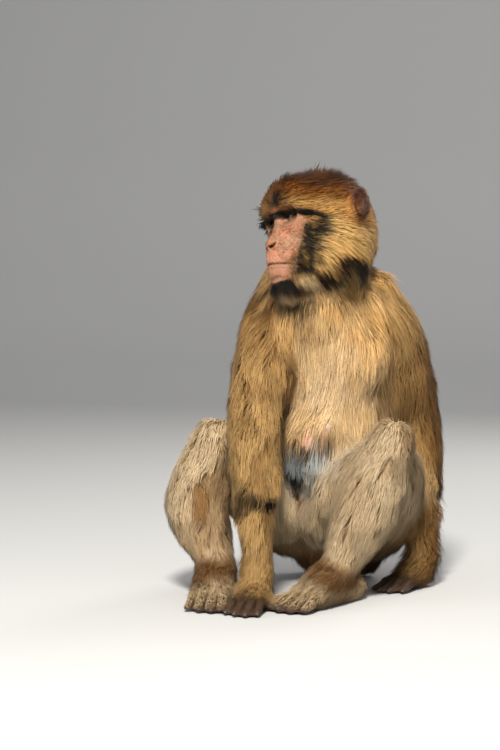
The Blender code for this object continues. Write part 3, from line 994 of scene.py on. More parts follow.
class Face:
    """Shapes the face in the head's own axes: lids, nose, mouth and folds."""

    bare_border = (  # height, half width of the bare face
        (-0.062, 0.004), (-0.06, 0.015), (-0.0555, 0.0205), (-0.047, 0.023), (-0.036, 0.0245),
        (-0.02, 0.03), (-0.008, 0.0332), (0.0035, 0.0372), (0.0116, 0.0405), (0.0165, 0.0395),
        (0.02, 0.034), (0.0235, 0.026), (0.0262, 0.012),
    )
    slit_in, slit_out = -44.0, 48.0  # the slit's ends, in degrees across the eyeball
    bags = ((0.01, 0.0012), (0.014, 0.0009), (0.018, 0.0006))  # drop below the eye, depth
    frowns = ((0.03, 0.0011), (0.0345, 0.0008))  # height, depth

    def __init__(self, hide: Hide) -> None:
        """Takes the skin that it shapes."""
        self.hide = hide
        self.head = hide.body.head

    @classmethod
    def border(cls, height: Array) -> Array:
        """The half width of the bare face at each height."""
        return read_off(cls.bare_border, height, left=-0.01, right=-0.01)

    @classmethod
    def bare(cls, local: Array) -> Array:
        """How bare each place of the head is, from 0 to 1."""
        inside = cls.border(local[:, 2]) - np.abs(local[:, 0])
        return fade(inside, -0.002, 0.0045) * fade(-local[:, 1], 0.026, 0.034)

    @classmethod
    def detail(cls, local: Array) -> Array:
        """Where the face needs fine shapes, from 0 to 1."""
        inside = cls.border(local[:, 2]) - np.abs(local[:, 0])
        tall = fade(local[:, 2], -0.072, -0.062) * fade(-local[:, 2], -0.044, -0.036)
        return fade(inside + 0.012, -0.004, 0.004) * tall * fade(-local[:, 1], 0.026, 0.036)

    @staticmethod
    def masses(head: HeadFrame, lid: float) -> list[tuple[Vector, Triple]]:
        """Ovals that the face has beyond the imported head.

        Args:
            head: The head's axes.
            lid: How thick the lids are.

        Returns:
            The centre and half sizes of each oval, in the head's axes.
        """
        found = [
            (Vector((0, -0.0768, -0.0165)), (0.0062, 0.006, 0.0052)),
            (Vector((0, -0.0545, -0.051)), (0.02, 0.024, 0.008)),
        ]
        for side in SIDES:
            out = OUTWARD[side]
            eye = Vector(head.local(head.eye[side][None])[0].tolist())
            ball = head.eye_radius + lid
            found.append((eye, (ball, ball, ball)))
            found.append((Vector((out * 0.0085, -0.0705, -0.0155)), (0.0052, 0.0075, 0.0056)))
            found.append((Vector((out * 0.0125, -0.063, -0.036)), (0.014, 0.015, 0.0078)))
            found.append((Vector((out * 0.0255, -0.044, 0.004)), (0.011, 0.009, 0.007)))
        return found

    def shape(self) -> None:
        """Shapes everything on the face."""
        self.local = self.head.local(self.hide.work.points)
        self.on = fade(self.hide.share(Region.HEAD), 0.2, 0.5)
        # painted shade: the nostrils' wells and the mouth's line are darkened on the skin
        self.dark = np.zeros(len(self.local))
        self._narrow()
        self._nostrils()
        self._mouth()
        self._folds()
        for side in SIDES:
            self._lids(side)
        self.hide.work.points = self.head.world(self.local)
        self.hide.dark = self.dark

    def _push(self, amount: Array) -> None:
        """Moves the face out by an amount at each point."""
        out = normals_of(self.head.world(self.local), self.hide.work.faces) @ self.head.turn
        self.local = self.local + out * (amount * self.on)[:, None]

    def _groove(self, line: Corners, depth: float, width: float, lip: float = 0.35) -> None:
        """Cuts a groove along a line, with a low roll on each side.

        Args:
            line: Corners of the line in the head's axes.
            depth: How deep it is.
            width: Its half width.
            lip: How high the rolls are, as a share of the depth.
        """
        away, along = to_line(self.local, line)
        ends = fade(along, 0.0, 0.12) * fade(1 - along, 0.0, 0.12)
        profile = -depth * hump(away, 0.0, width)
        profile += lip * depth * hump(away, 2.3 * width, 1.2 * width)
        self._push(profile * ends * (away < 6 * width))

    def _lay(self, flat: Sequence[tuple[float, float]]) -> list[Triple]:
        """Lays a line of x and height on the front of the face.

        Args:
            flat: Corners of the line, as x and height.

        Returns:
            The corners, each with its place on the face.
        """
        laid = []
        for x, z in flat:
            off = np.hypot(self.local[:, 0] - x, self.local[:, 2] - z)
            near = np.flatnonzero(off < max(0.0016, off.min() + 0.0004))
            laid.append((x, float(self.local[near, 1].min()), z))
        return laid

    def _narrow(self) -> None:
        """Draws the lips back to either side, so that the muzzle is round from above."""
        x, y, z = self.local.T
        lips = hump(z, -0.037, 0.011) * fade(-y, 0.05, 0.066) * fade(np.abs(x), 0.002, 0.018)
        self.local[:, 1] += 0.006 * lips * self.on

    def _nostrils(self) -> None:
        """Comma-shaped nostrils that slant back and up from the tip, with rims."""
        for side in SIDES:
            out = OUTWARD[side]
            line = self._lay([(out * 0.004, -0.019), (out * 0.008, -0.0172), (out * 0.0118, -0.0128)])
            away, along = to_line(self.local, line)
            width = 0.0027 - 0.0013 * along
            well = hump(away, 0.0, width)
            # painted shade in the nostril's well
            self.dark = np.maximum(self.dark, fade(well, 0.25, 0.75) * self.on)
            self._push(-0.006 * well * (1 - 0.45 * along))
            rim = self._lay([(out * 0.007, -0.012), (out * 0.0118, -0.0085), (out * 0.0145, -0.013)])
            away, _ = to_line(self.local, rim)
            self._push(0.0011 * hump(away, 0.0, 0.0018))

    def _mouth(self) -> None:
        """The mouth's line from corner to corner, and the upright dent under the nose."""
        across = np.radians(np.linspace(-80, 80, 17))
        flat = [(0.0262 * math.sin(a), -0.0402 - 0.005 * (1 - math.cos(a))) for a in across]
        line = [(x, y if abs(x) < 0.022 else max(y, -0.066), z) for x, y, z in self._lay(flat)]
        self._groove(line, 0.004, 0.0013, 0.1)
        # painted shade along the mouth's line
        self.dark = np.maximum(self.dark, 0.85 * hump(to_line(self.local, line)[0], 0.0, 0.0009) * self.on)
        self._groove(self._lay([(0, -0.0245), (0, -0.03), (0, -0.036)]), 0.0009, 0.0013, 0.5)
        chin = self._lay([(0.021 * math.sin(a), -0.0585 + 0.004 * (1 - math.cos(a))) for a in across[4:-4]])
        self._groove(chin, 0.0011, 0.0022, 0.2)

    def _folds(self) -> None:
        """Folds under the eyes, beside the nose and over the brow."""
        for side in SIDES:
            out = OUTWARD[side]
            for drop, depth in self.bags:
                places = (0.009, 0.013, 0.018, 0.023, 0.028)
                line = [(out * x, 0.0192 - drop + 7.0 * (x - 0.017) ** 2) for x in places]
                self._groove(self._lay(line), depth, 0.0011)
            cheek = self._lay([(out * 0.0135, -0.014), (out * 0.0185, -0.024), (out * 0.0225, -0.035)])
            self._groove(cheek, 0.0013, 0.0019)
            for up, depth in self.frowns:
                line = self._lay([(out * x, up - 4.0 * x * x) for x in (0.004, 0.012, 0.02, 0.028)])
                self._groove(line, depth, 0.001)
            nose = self._lay([(out * 0.006, 0.012), (out * 0.008, 0.0000), (out * 0.0105, -0.008)])
            self._groove(nose, 0.001, 0.0016)
            whiskers = Waves(31, 0.0032)
            lip = hump(self.local[:, 2], -0.031, 0.007) * fade(self.local[:, 0] * out, 0.004, 0.01)
            self._push(0.00012 * whiskers.at(self.local) * lip * self.bare(self.local))
        for up in (0.0245, 0.0205):
            self._groove(self._lay([(-0.006, up), (0.0, up), (0.006, up)]), 0.0009, 0.0009)
        wrinkled = Waves(7, 0.0045)
        self._push(0.00024 * wrinkled.at(self.local) * self.bare(self.local))

    def _lids(self, side: str) -> None:
        """Opens a narrow slit between the lids and gives them edges and a crease.

        Args:
            side: Whose lids: left or right.
        """
        out = OUTWARD[side]
        eye = self.head.local(self.head.eye[side][None])[0]
        radius = self.head.eye_radius
        from_eye = self.local - eye
        distance = span(from_eye)
        heading = unit(from_eye)
        across = np.degrees(np.arcsin(np.clip(heading[:, 0] * out, -1, 1)))
        height = np.degrees(np.arcsin(np.clip(heading[:, 2], -1, 1)))
        facing = fade(-heading[:, 1], 0.1, 0.35) * (distance < 0.02)
        t = np.clip((across - self.slit_in) / (self.slit_out - self.slit_in), 0, 1)
        arch = np.sin(np.pi * t) ** 0.75
        upper = 1.0 + 5.0 * arch + 2.0 * t
        lower = -3.0 - 7.0 * arch + 2.0 * t
        within = np.minimum(upper - height, height - lower)
        within = np.where((across > self.slit_in) & (across < self.slit_out), within, -20)
        lidded = fade(-np.abs(height), -62, -38) * fade(-np.abs(across), -66, -46) * facing
        target = radius + self.hide.lid
        crease = -0.0008 * hump(height - upper, 12, 3.5) - 0.0006 * hump(lower - height, 14, 4.0)
        edge = 0.0005 * hump(within, -2.5, 2.5)
        shell = lerp(distance, target + crease + edge, lidded * fade(-distance, -0.0165, -0.0125))
        opened = fade(within, -1.5, 2.0) * facing * self.on
        shell = lerp(shell, radius - 0.0016, opened)
        moved = self.on * facing
        self.local = eye + heading * lerp(distance, shell, moved)[:, None]


# ---- markings


@dataclass(frozen=True)
class Palette:
    """The animal's colours."""

    flesh: Triple = srgb(138, 103, 75)
    lip: Triple = srgb(140, 99, 76)
    # painted shade round the eyes, over dark lids
    lid: Triple = srgb(20, 13, 10)
    # painted shade in the nostrils and along the mouth
    hollow: Triple = srgb(30, 15, 12)
    paw: Triple = srgb(62, 44, 32)
    # with the hair's colour, painted shade of the ground under the coat
    under: Triple = srgb(128, 92, 54)
    fold: Triple = srgb(236, 182, 154)
    teat: Triple = srgb(184, 166, 162)
    crown: Triple = srgb(124, 70, 14)
    crown_tip: Triple = srgb(12, 8, 5)
    brow_band: Triple = srgb(154, 116, 64)
    brow_pink: Triple = srgb(156, 100, 64)
    brow_dark: Triple = srgb(16, 11, 8)
    temple_dark: Triple = srgb(16, 14, 9)
    temple_tip: Triple = srgb(38, 31, 18)
    cheek: Triple = srgb(172, 130, 72)
    cheek_tip: Triple = srgb(204, 174, 118)
    whisker: Triple = srgb(192, 168, 132)
    chin: Triple = srgb(14, 12, 12)
    chin_tip: Triple = srgb(48, 42, 38)
    # dark hair with painted shadow under the ruff; also the tips of the throat patch
    stripe: Triple = srgb(28, 19, 11)
    mantle: Triple = srgb(208, 156, 88)
    back: Triple = srgb(134, 90, 38)
    back_tip: Triple = srgb(40, 28, 14)
    chest: Triple = srgb(186, 148, 98)
    chest_tip: Triple = srgb(216, 182, 130)
    milk: Triple = srgb(208, 176, 134)
    milk_tip: Triple = srgb(232, 208, 172)
    fringe: Triple = srgb(66, 48, 28)
    fringe_tip: Triple = srgb(30, 23, 17)
    belly: Triple = srgb(128, 138, 142)
    belly_tip: Triple = srgb(186, 192, 194)
    # painted shade in the belly's fold
    crease: Triple = srgb(44, 38, 34)
    rose: Triple = srgb(140, 88, 62)
    arm: Triple = srgb(152, 118, 70)
    arm_tip: Triple = srgb(184, 152, 102)
    leg: Triple = srgb(194, 168, 130)
    leg_tip: Triple = srgb(206, 190, 162)
    leg_patch: Triple = srgb(116, 76, 34)
    foot: Triple = srgb(92, 62, 32)
    foot_tip: Triple = srgb(122, 88, 50)
    foot_pale: Triple = srgb(182, 152, 108)
    ear_dark: Triple = srgb(52, 32, 22)
    ear_rim: Triple = srgb(150, 88, 50)

    def colour(self, name: str) -> Array:
        """A colour by its name."""
        return np.array(getattr(self, name))


@dataclass
class Shades:
    """The colours of the hair's middle and tip on every point, as patches are laid over them."""

    palette: Palette
    hair: Array
    tip: Array

    def lay(self, mask: Any, hair: str, tip: str) -> None:
        """Lays two palette colours where a mask says so."""
        mask = np.clip(mask, 0, 1)
        self.hair = lerp(self.hair, self.palette.colour(hair), mask)
        self.tip = lerp(self.tip, self.palette.colour(tip), mask)


class Markings:
    """One set of colours for the skin and for the roots and tips of the coat."""

    # how high, in the head's axes, each marking lies at some way out from the middle or back
    band_level = ((0, 0.04), (0.02, 0.036), (0.04, 0.031), (0.05, 0.031), (0.06, 0.02), (0.066, 0.012))
    line_level = ((0, 0.019), (0.0175, 0.024), (0.03, 0.023), (0.042, 0.019), (0.05, 0.012), (0.058, 0.006))
    line_half = ((0, 0.0066), (0.02, 0.0056), (0.05, 0.0034))
    ruff_level = ((-0.045, -0.064), (-0.03, -0.063), (-0.008, -0.0625), (0.02, -0.056), (0.05, -0.044))
    throat_level = -0.089
    collar_level = -0.079
    milk_height = 0.255

    def __init__(self, hide: Hide, palette: Palette) -> None:
        """Works out every colour on the skin's points.

        Args:
            hide: The skin.
            palette: The animal's colours.
        """
        self.hide, self.body, self.palette = hide, hide.body, palette
        self.points = hide.work.points
        self.local = hide.body.head.local(self.points)
        self.uneven = Waves(3, 0.03).at(self.points)
        self.patchy = Waves(4, 0.012).at(self.points)
        self.bare = Face.bare(self.local) * fade(hide.share(Region.HEAD), 0.3, 0.6)
        self._coat()
        self._skin()

    def _coat(self) -> None:
        """The coat's colour in the middle of the hairs and at their tips."""
        hair = np.zeros((len(self.points), 3))
        tip = np.zeros((len(self.points), 3))
        for region, colours in self._by_region().items():
            share = self.hide.weights[:, region.value][:, None]
            hair += share * colours.hair
            tip += share * colours.tip
        self.hair, self.tip = hair, tip
        crown = fade(self.local[:, 2], 0.04, 0.06) * self.hide.share(Region.HEAD)
        self.tipping = 0.15 + crown * (0.3 + 0.35 * fade(self.patchy + 0.5 * self.uneven, -0.4, 0.8))

    def _shades(self, hair: str, tip: str) -> Shades:
        """Two palette colours on every point."""
        count = (len(self.points), 1)
        return Shades(self.palette, *(np.tile(self.palette.colour(name), count) for name in (hair, tip)))

    def _by_region(self) -> dict[Region, Shades]:
        """Hair and tip colours over the whole skin, as each region would have them."""
        arm, leg, ear = self._arm(), self._leg(), self._shades("ear_dark", "ear_rim")
        ear.lay(0.35, "ear_rim", "ear_rim")
        return {
            Region.HEAD: self._head(),
            Region.EAR: ear,
            Region.NECK: self._neck(),
            Region.TRUNK: self._trunk(),
            Region.UPPER_ARM: arm,
            Region.FOREARM: arm,
            Region.HAND: self._hand(arm),
            Region.THIGH: leg,
            Region.SHIN: leg,
            Region.FOOT: self._foot(),
        }

    def _head(self) -> Shades:
        """Rusty crown, buff brow band, dark temple patch, golden cheeks and black chin."""
        x, y, z = self.local.T
        wide = np.abs(x)
        coat = self._shades("crown", "crown_tip")
        mottled = fade(0.7 * self.patchy + 0.6 * self.uneven, -0.2, 0.9) * fade(z, 0.046, 0.064)
        mottled = np.maximum(mottled, hump(z, 0.066, 0.0085) * hump(y, -0.036, 0.026))
        coat.lay(0.75 * mottled, "crown_tip", "crown_tip")
        temple = fade(-z, -0.04, -0.02) * fade(wide, 0.03, 0.046)
        coat.lay(0.85 * temple, "mantle", "cheek")
        cheek = fade(-z + 0.004 * self.patchy, -0.016, -0.002) * fade(wide, 0.01, 0.024)
        coat.lay(cheek, "cheek", "cheek_tip")
        dim = cheek * fade(self.patchy - 0.3 * self.uneven, 0.1, 1.2)
        coat.lay(0.4 * dim, "mantle", "cheek")
        band = hump(z, read_off(self.band_level, wide), 0.0072)
        band = band * fade(-y, -0.004, 0.012) * fade(-wide, -0.068, -0.058)
        coat.lay(0.95 * band, "brow_band", "brow_band")
        ridge = hump(z + 2.0 * x * x, 0.0315, 0.0034) * fade(-y, 0.026, 0.04) * fade(-wide, -0.034, -0.024)
        coat.lay(0.9 * ridge, "brow_pink", "brow_band")
        above = hump(z, 0.0415, 0.01) * hump(x, 0.009, 0.015) * fade(-y, 0.03, 0.05)
        coat.lay(1.4 * above * (1.0 + 0.3 * self.patchy), "brow_dark", "brow_dark")
        # Dark brow hair with painted shade of the brow, in a line over the eyes.
        off = np.abs(z - read_off(self.line_level, wide)) / read_off(self.line_half, wide)
        line = fade(-off, -1.35, -0.65) * fade(-y, 0.01, 0.026) * fade(-wide, -0.057, -0.046)
        coat.lay(1.2 * line, "brow_dark", "brow_dark")
        # Dark hair with painted shade on the animal's right beside the brow; this side only.
        far = hump(x, -0.036, 0.014) * hump(z, 0.016, 0.015) * fade(-y, 0.014, 0.03)
        coat.lay(1.1 * far, "brow_dark", "temple_dark")
        beside = wide - Face.border(z)
        patch = fade(beside, -0.006, 0.000) * fade(-beside + 0.003 * self.patchy, -0.022, -0.0085)
        patch *= fade(-z, -0.018, -0.004) * fade(z, -0.064, -0.052) * fade(-y, 0.01, 0.024)
        coat.lay(1.1 * patch * (1.0 + 0.22 * self.patchy), "temple_dark", "temple_tip")
        pale = fade(-z, 0.056, 0.066) * fade(wide, 0.014, 0.024) * fade(-y, -0.004, 0.016)
        coat.lay(0.8 * pale, "whisker", "whisker")
        pale = fade(-z, 0.0735, 0.0775) * fade(-y, 0.01, 0.03)
        coat.lay(pale, "whisker", "whisker")
        chin = fade(-z, 0.057, 0.0605) * fade(z + 0.001 * self.patchy, -0.0775, -0.0715)
        chin = chin * fade(-y, 0.01, 0.03) * fade(-wide + 0.0025 * self.patchy, -0.0235, -0.0165)
        coat.lay(1.1 * chin, "chin", "chin_tip")
        coat.lay(self._throat(), "chin", "stripe")
        # dark hair with painted shadow under the ruff
        coat.lay(self._under_ruff(), "stripe", "stripe")
        return coat

    def _under_ruff(self) -> Array:
        """Where the dark stripe, dark hair with painted shadow of the ruff, runs along the ruff's lower edge,
        from 0 to 1.
        """
        x, y, z = self.local.T
        along = fade(np.abs(x), 0.024, 0.038) * fade(y, -0.046, -0.026)
        return 1.5 * along * hump(z, read_off(self.ruff_level, y), 0.0085) * (1.0 + 0.22 * self.patchy)

    def _neck(self) -> Shades:
        """Cream throat with a black patch, dark hair and painted shade under the jaws, and a golden mantle
        behind.
        """
        front = self._facing_front()
        coat = self._shades("mantle", "back_tip")
        coat.lay(front, "chest", "chest_tip")
        golden = front * fade(self.uneven + 0.4 * self.patchy, -0.5, 0.7)
        coat.lay(0.7 * golden, "mantle", "arm_tip")
        # dark hair with painted shadow under the ruff
        coat.lay(self._under_ruff(), "stripe", "stripe")
        # brown hair with painted shade below the ruff
        coat.lay(self._collar(), "leg_patch", "back_tip")
        coat.lay(self._throat(), "chin", "stripe")
        return coat

    def _collar(self) -> Array:
        """Where the neck is brown below the ruff, brown hair with painted shade, from 0 to 1."""
        x, y, z = self.local.T
        aside = fade(np.abs(x), 0.016, 0.03) * fade(-y, -0.06, -0.03)
        return 0.8 * aside * hump(z + 0.2 * np.abs(x), self.collar_level, 0.016) * (1 + 0.5 * self.patchy)

    def _throat(self) -> Array:
        """Where the black patch lies on the throat, from 0 to 1."""
        x, y, z = self.local.T
        wide = fade(-np.abs(x + 0.003) + 0.003 * self.patchy, -0.024, -0.015)
        return 1.4 * wide * hump(z, self.throat_level, 0.0085) * fade(-y, 0.000, 0.016)

    def _facing_front(self) -> Array:
        """How far each point of the trunk lies to its front, from 0 to 1."""
        low, high = self.body.trunk_low, self.body.trunk_high
        middle_x = (low[0] + high[0]) / 2
        middle_y = low[1] + 0.45 * (high[1] - low[1])
        angle = np.arctan2(-(self.points[:, 1] - middle_y), np.abs(self.points[:, 0] - middle_x))
        return fade(angle + 0.16 * self.uneven, -0.45, 0.55)

    def _trunk(self) -> Shades:
        """Golden-brown back with dark tips, cream chest, dark fringe and grey-white belly."""
        coat = self._shades("back", "back_tip")
        body = self.body
        x, _, z = self.points.T
        front = self._facing_front()
        coat.lay(front, "chest", "chest_tip")
        aside = np.abs(x - body.middle_x - 0.01)
        golden = front * fade(z, 0.27, 0.335) * fade(aside + 0.012 * self.uneven, 0.02, 0.06)
        coat.lay(0.75 * golden, "mantle", "arm_tip")
        milk = front * hump(z, self.milk_height, 0.05) * fade(-aside + 0.014 * self.uneven, -0.062, -0.018)
        coat.lay(0.9 * milk, "milk", "milk_tip")
        ochre = front * fade(self.patchy + 0.7 * self.uneven, 0.3, 1.3) * fade(z, 0.215, 0.24)
        coat.lay(0.55 * ochre, "leg_patch", "mantle")
        # brown hair with painted shade below the ruff
        coat.lay(self._collar(), "leg_patch", "back_tip")
        belly = body.belly(self.points)
        coat.lay(belly, "belly", "belly_tip")
        fringe = front * hump(z + 0.0015 * self.patchy, body.fringe_height, 0.01)
        fringe *= fade(-aside, -0.052, -0.034)
        coat.lay(1.25 * fringe, "fringe", "fringe_tip")
        # painted shade along the fold across the belly
        crease = belly * hump(z + 0.12 * (x - body.middle_x), body.belly_crease, 0.0042)
        coat.lay(1.1 * crease, "crease", "crease")
        low = front * fade(-z, -0.112, -0.1)
        coat.lay(low, "leg", "leg_tip")
        coat.lay(self._rosy(), "rose", "rose")
        return coat

    def _rosy(self) -> Array:
        """Where the reddish skin shows between the thighs, from 0 to 1."""
        away = (self.points - self.body.crotch) / (0.011, 0.06, 0.011)
        return fade(-span(away), -1.3, -0.5)

    def _arm(self) -> Shades:
        """Tan arms, orange-brown on the outer shoulder, with dark flecks."""
        coat = self._shades("arm", "arm_tip")
        x, y, z = self.points.T
        outer = np.zeros(len(self.points))
        for side in SIDES:
            middle = (self.body.shoulder[side] + self.body.elbow[side]) / 2
            away = (x - middle[0]) * OUTWARD[side] + (y - middle[1]) * 0.6
            near = (x - self.body.middle_x) * OUTWARD[side] > 0
            outer += near * fade(away, -0.015, 0.03)
        high = fade(z, 0.1, 0.28)
        coat.lay(0.85 * outer * high, "back", "back_tip")
        # Browner hair with painted shade on the outside of the left arm; this arm only.
        outside = fade(x - self.body.elbow["left"][0], 0.004, 0.03) * fade(-z, -0.4, -0.3)
        coat.lay(0.85 * outside, "leg_patch", "back_tip")
        coat.lay(0.3 * hump(z, 0.295, 0.05), "leg_patch", "arm")
        flecks = fade(self.patchy + 0.4 * self.uneven, 0.4, 1.2)
        coat.lay(0.5 * flecks, "leg_patch", "back_tip")
        return coat

    def _hand(self, arm: Shades) -> Shades:
        """Hands as the arms to the knuckles, and dark brown fingers."""
        ahead = self.body.from_joint(self.body.wrist, self.points)
        coat = replace(arm)
        coat.lay(0.85 * fade(ahead, 0.036, 0.058), "paw", "paw")
        return coat

    def _leg(self) -> Shades:
        """Cream legs with golden-brown patches at the knees and low on the shins."""
        coat = self._shades("leg", "leg_tip")
        patch = np.zeros(len(self.points))
        for side in SIDES:
            ankle, knee = self.body.ankle[side], self.body.knee[side]
            low = ankle + 0.36 * (knee - ankle)
            near = span((self.points - low) * (1.0, 1.0, 0.55))
            patch = np.maximum(patch, (0.95 if side == "right" else 0.3) * fade(-near, -0.058, -0.02))
            top = span(self.points - knee)
            patch = np.maximum(patch, 0.22 * fade(-top, -0.05, -0.02))
            heel = span((self.points - ankle) * (1.0, 1.0, 0.8) - (0.0, 0.03, 0.01))
            patch = np.maximum(patch, 0.45 * fade(-heel, -0.034, -0.012))
        patch *= 0.85 + 0.25 * self.patchy
        # Brown hair with painted shade on the outer side of the left leg; this leg only.
        outer = fade(self.points[:, 0] - self.body.knee["left"][0], -0.004, 0.026)
        patch = np.maximum(patch, 0.75 * outer * fade(self.points[:, 2], 0.05, 0.12))
        coat.lay(patch, "leg_patch", "arm")
        hips = np.minimum(*(span(self.points - self.body.hip[side]) for side in SIDES))
        coat.lay(0.8 * fade(-hips + 0.01 * self.uneven, -0.125, -0.045), "back", "back_tip")
        coat.lay(self._rosy(), "rose", "rose")
        return coat

    def _foot(self) -> Shades:
        """Feet brown on the instep, cream round it and on the toes, and dark at the toes' ends."""
        coat = self._shades("foot", "foot_tip")
        pale = np.zeros(len(self.points))
        for side in SIDES:
            mine = (self.points[:, 0] - self.body.middle_x) * OUTWARD[side] > -0.01
            from_instep = (self.points - self.body.ankle[side] + (0.0, 0.03, 0.0)) * (1.0, 0.75, 1.1)
            pale = np.maximum(pale, mine * fade(span(from_instep), 0.028, 0.054))
        pale = np.clip(pale + 0.16 * self.patchy, 0, 1)
        coat.lay(pale, "foot_pale", "leg_tip")
        ahead = self.body.from_joint(self.body.ankle, self.points)
        ends = np.maximum(fade(ahead, 0.104, 0.116), fade(-self.points[:, 2], -0.007, -0.003))
        # Darker between the toes: painted shade.
        gaps = fade(self.body.off_digits(self.points), 0.45, 0.95) * fade(ahead, 0.056, 0.072)
        coat.lay(0.9 * gaps, "foot", "paw")
        coat.lay(0.8 * ends, "paw", "paw")
        return coat

    def _skin(self) -> None:
        """The skin's colours: bare face, ears, paws, painted shade round the eyes, nostrils and mouth, and
        the ground under the coat dimmed as painted shade.
        """
        share = self.hide.share
        x, _, z = self.local.T
        colour = self.palette.colour
        # under the coat the skin takes the hair's colour, darkened: painted shade of the coat's depth
        skin = lerp(self.hair * 0.8, colour("under"), 0.15)
        for region, joints, knuckles in self.hide.paws():
            ahead = self.body.from_joint(joints, self.points)
            skin = lerp(skin, colour("paw"), share(region) * fade(ahead, knuckles - 0.012, knuckles + 0.016))
        sole = fade(-self.points[:, 2], -0.013, -0.006) * share(Region.HAND, Region.FOOT)
        skin = lerp(skin, colour("paw"), sole)
        skin = lerp(skin, colour("ear_dark"), share(Region.EAR))
        flesh = lerp(np.tile(colour("flesh"), (len(self.points), 1)), colour("lip"), hump(z, -0.048, 0.009))
        # Painted shade under the brow over the root of the nose and the sockets, with dark lids; beside the
        # nose it is darker on the animal's right than on its left.
        socket = fade(z - 3.3 * np.minimum(np.abs(x), 0.022) ** 2, 0.016, 0.0186)
        lids = np.zeros(len(self.points))
        for side in SIDES:
            away = self.points - self.body.head.eye[side]
            lids = np.maximum(lids, fade(-span(away), -0.0125, -0.0105))
        rim = lids * hump(z - 3.3 * x * x, 0.0165, 0.0016)
        corner = 1.1 * hump(x, -0.0165, 0.0095) * hump(z, 0.0095, 0.0095)
        corner += 0.45 * hump(x, 0.012, 0.0045) * hump(z, 0.0125, 0.005)
        shaded = np.clip(0.98 * socket + 0.6 * rim + corner, 0, 1)
        stubble = fade(np.abs(x) - Face.border(z), -0.0085, 0.001)
        stubble = stubble * fade(-z, -0.012, 0.004) * fade(z, -0.056, -0.046)
        flesh = lerp(flesh, colour("paw"), 0.62 * np.clip(stubble * (1.0 + 0.6 * self.patchy), 0, 1))
        flesh = lerp(flesh, colour("lid"), shaded)
        # painted shade in the nostrils and along the mouth
        flesh = lerp(flesh, colour("hollow"), self.hide.dark)
        self.skin = lerp(skin, flesh, self.bare)
        on_breast = self.body.on_breast(self.points) * share(Region.TRUNK)
        self.skin = lerp(self.skin, colour("fold"), on_breast)
        self.skin = lerp(self.skin, colour("teat"), on_breast * self.body.on_teat(self.points))
        self.bare = np.maximum(self.bare * (1 - 0.9 * shaded), on_breast)
        self.freckled = self.bare * fade(-z, -0.016, 0.000) * fade(z, -0.04, -0.024) * (1 - on_breast)


# ---- the coat


@dataclass(frozen=True)
class Growth:
    """How the hair grows on one region.

    Length and width are in metres; stand is the angle that it stands off at, in degrees; density is
    how thick it grows beside the trunk's; clump is how far neighbouring tufts draw together.
    """

    length: float
    stand: float
    width: float
    density: float
    clump: float


GROWTH = {
    Region.HEAD: Growth(0.018, 12, 0.00082, 1.6, 0.35),
    Region.EAR: Growth(0.007, 20, 0.0005, 1.8, 0.2),
    Region.NECK: Growth(0.036, 9, 0.00105, 1.05, 0.45),
    Region.TRUNK: Growth(0.046, 8, 0.00105, 1.00, 0.4),
    Region.UPPER_ARM: Growth(0.032, 7, 0.00092, 1.05, 0.32),
    Region.FOREARM: Growth(0.024, 8, 0.00085, 1.25, 0.28),
    Region.HAND: Growth(0.012, 16, 0.00068, 2.4, 0.3),
    Region.THIGH: Growth(0.026, 5, 0.00088, 1.1, 0.15),
    Region.SHIN: Growth(0.021, 5, 0.00078, 1.35, 0.14),
    Region.FOOT: Growth(0.013, 14, 0.00066, 2.9, 0.25),
}


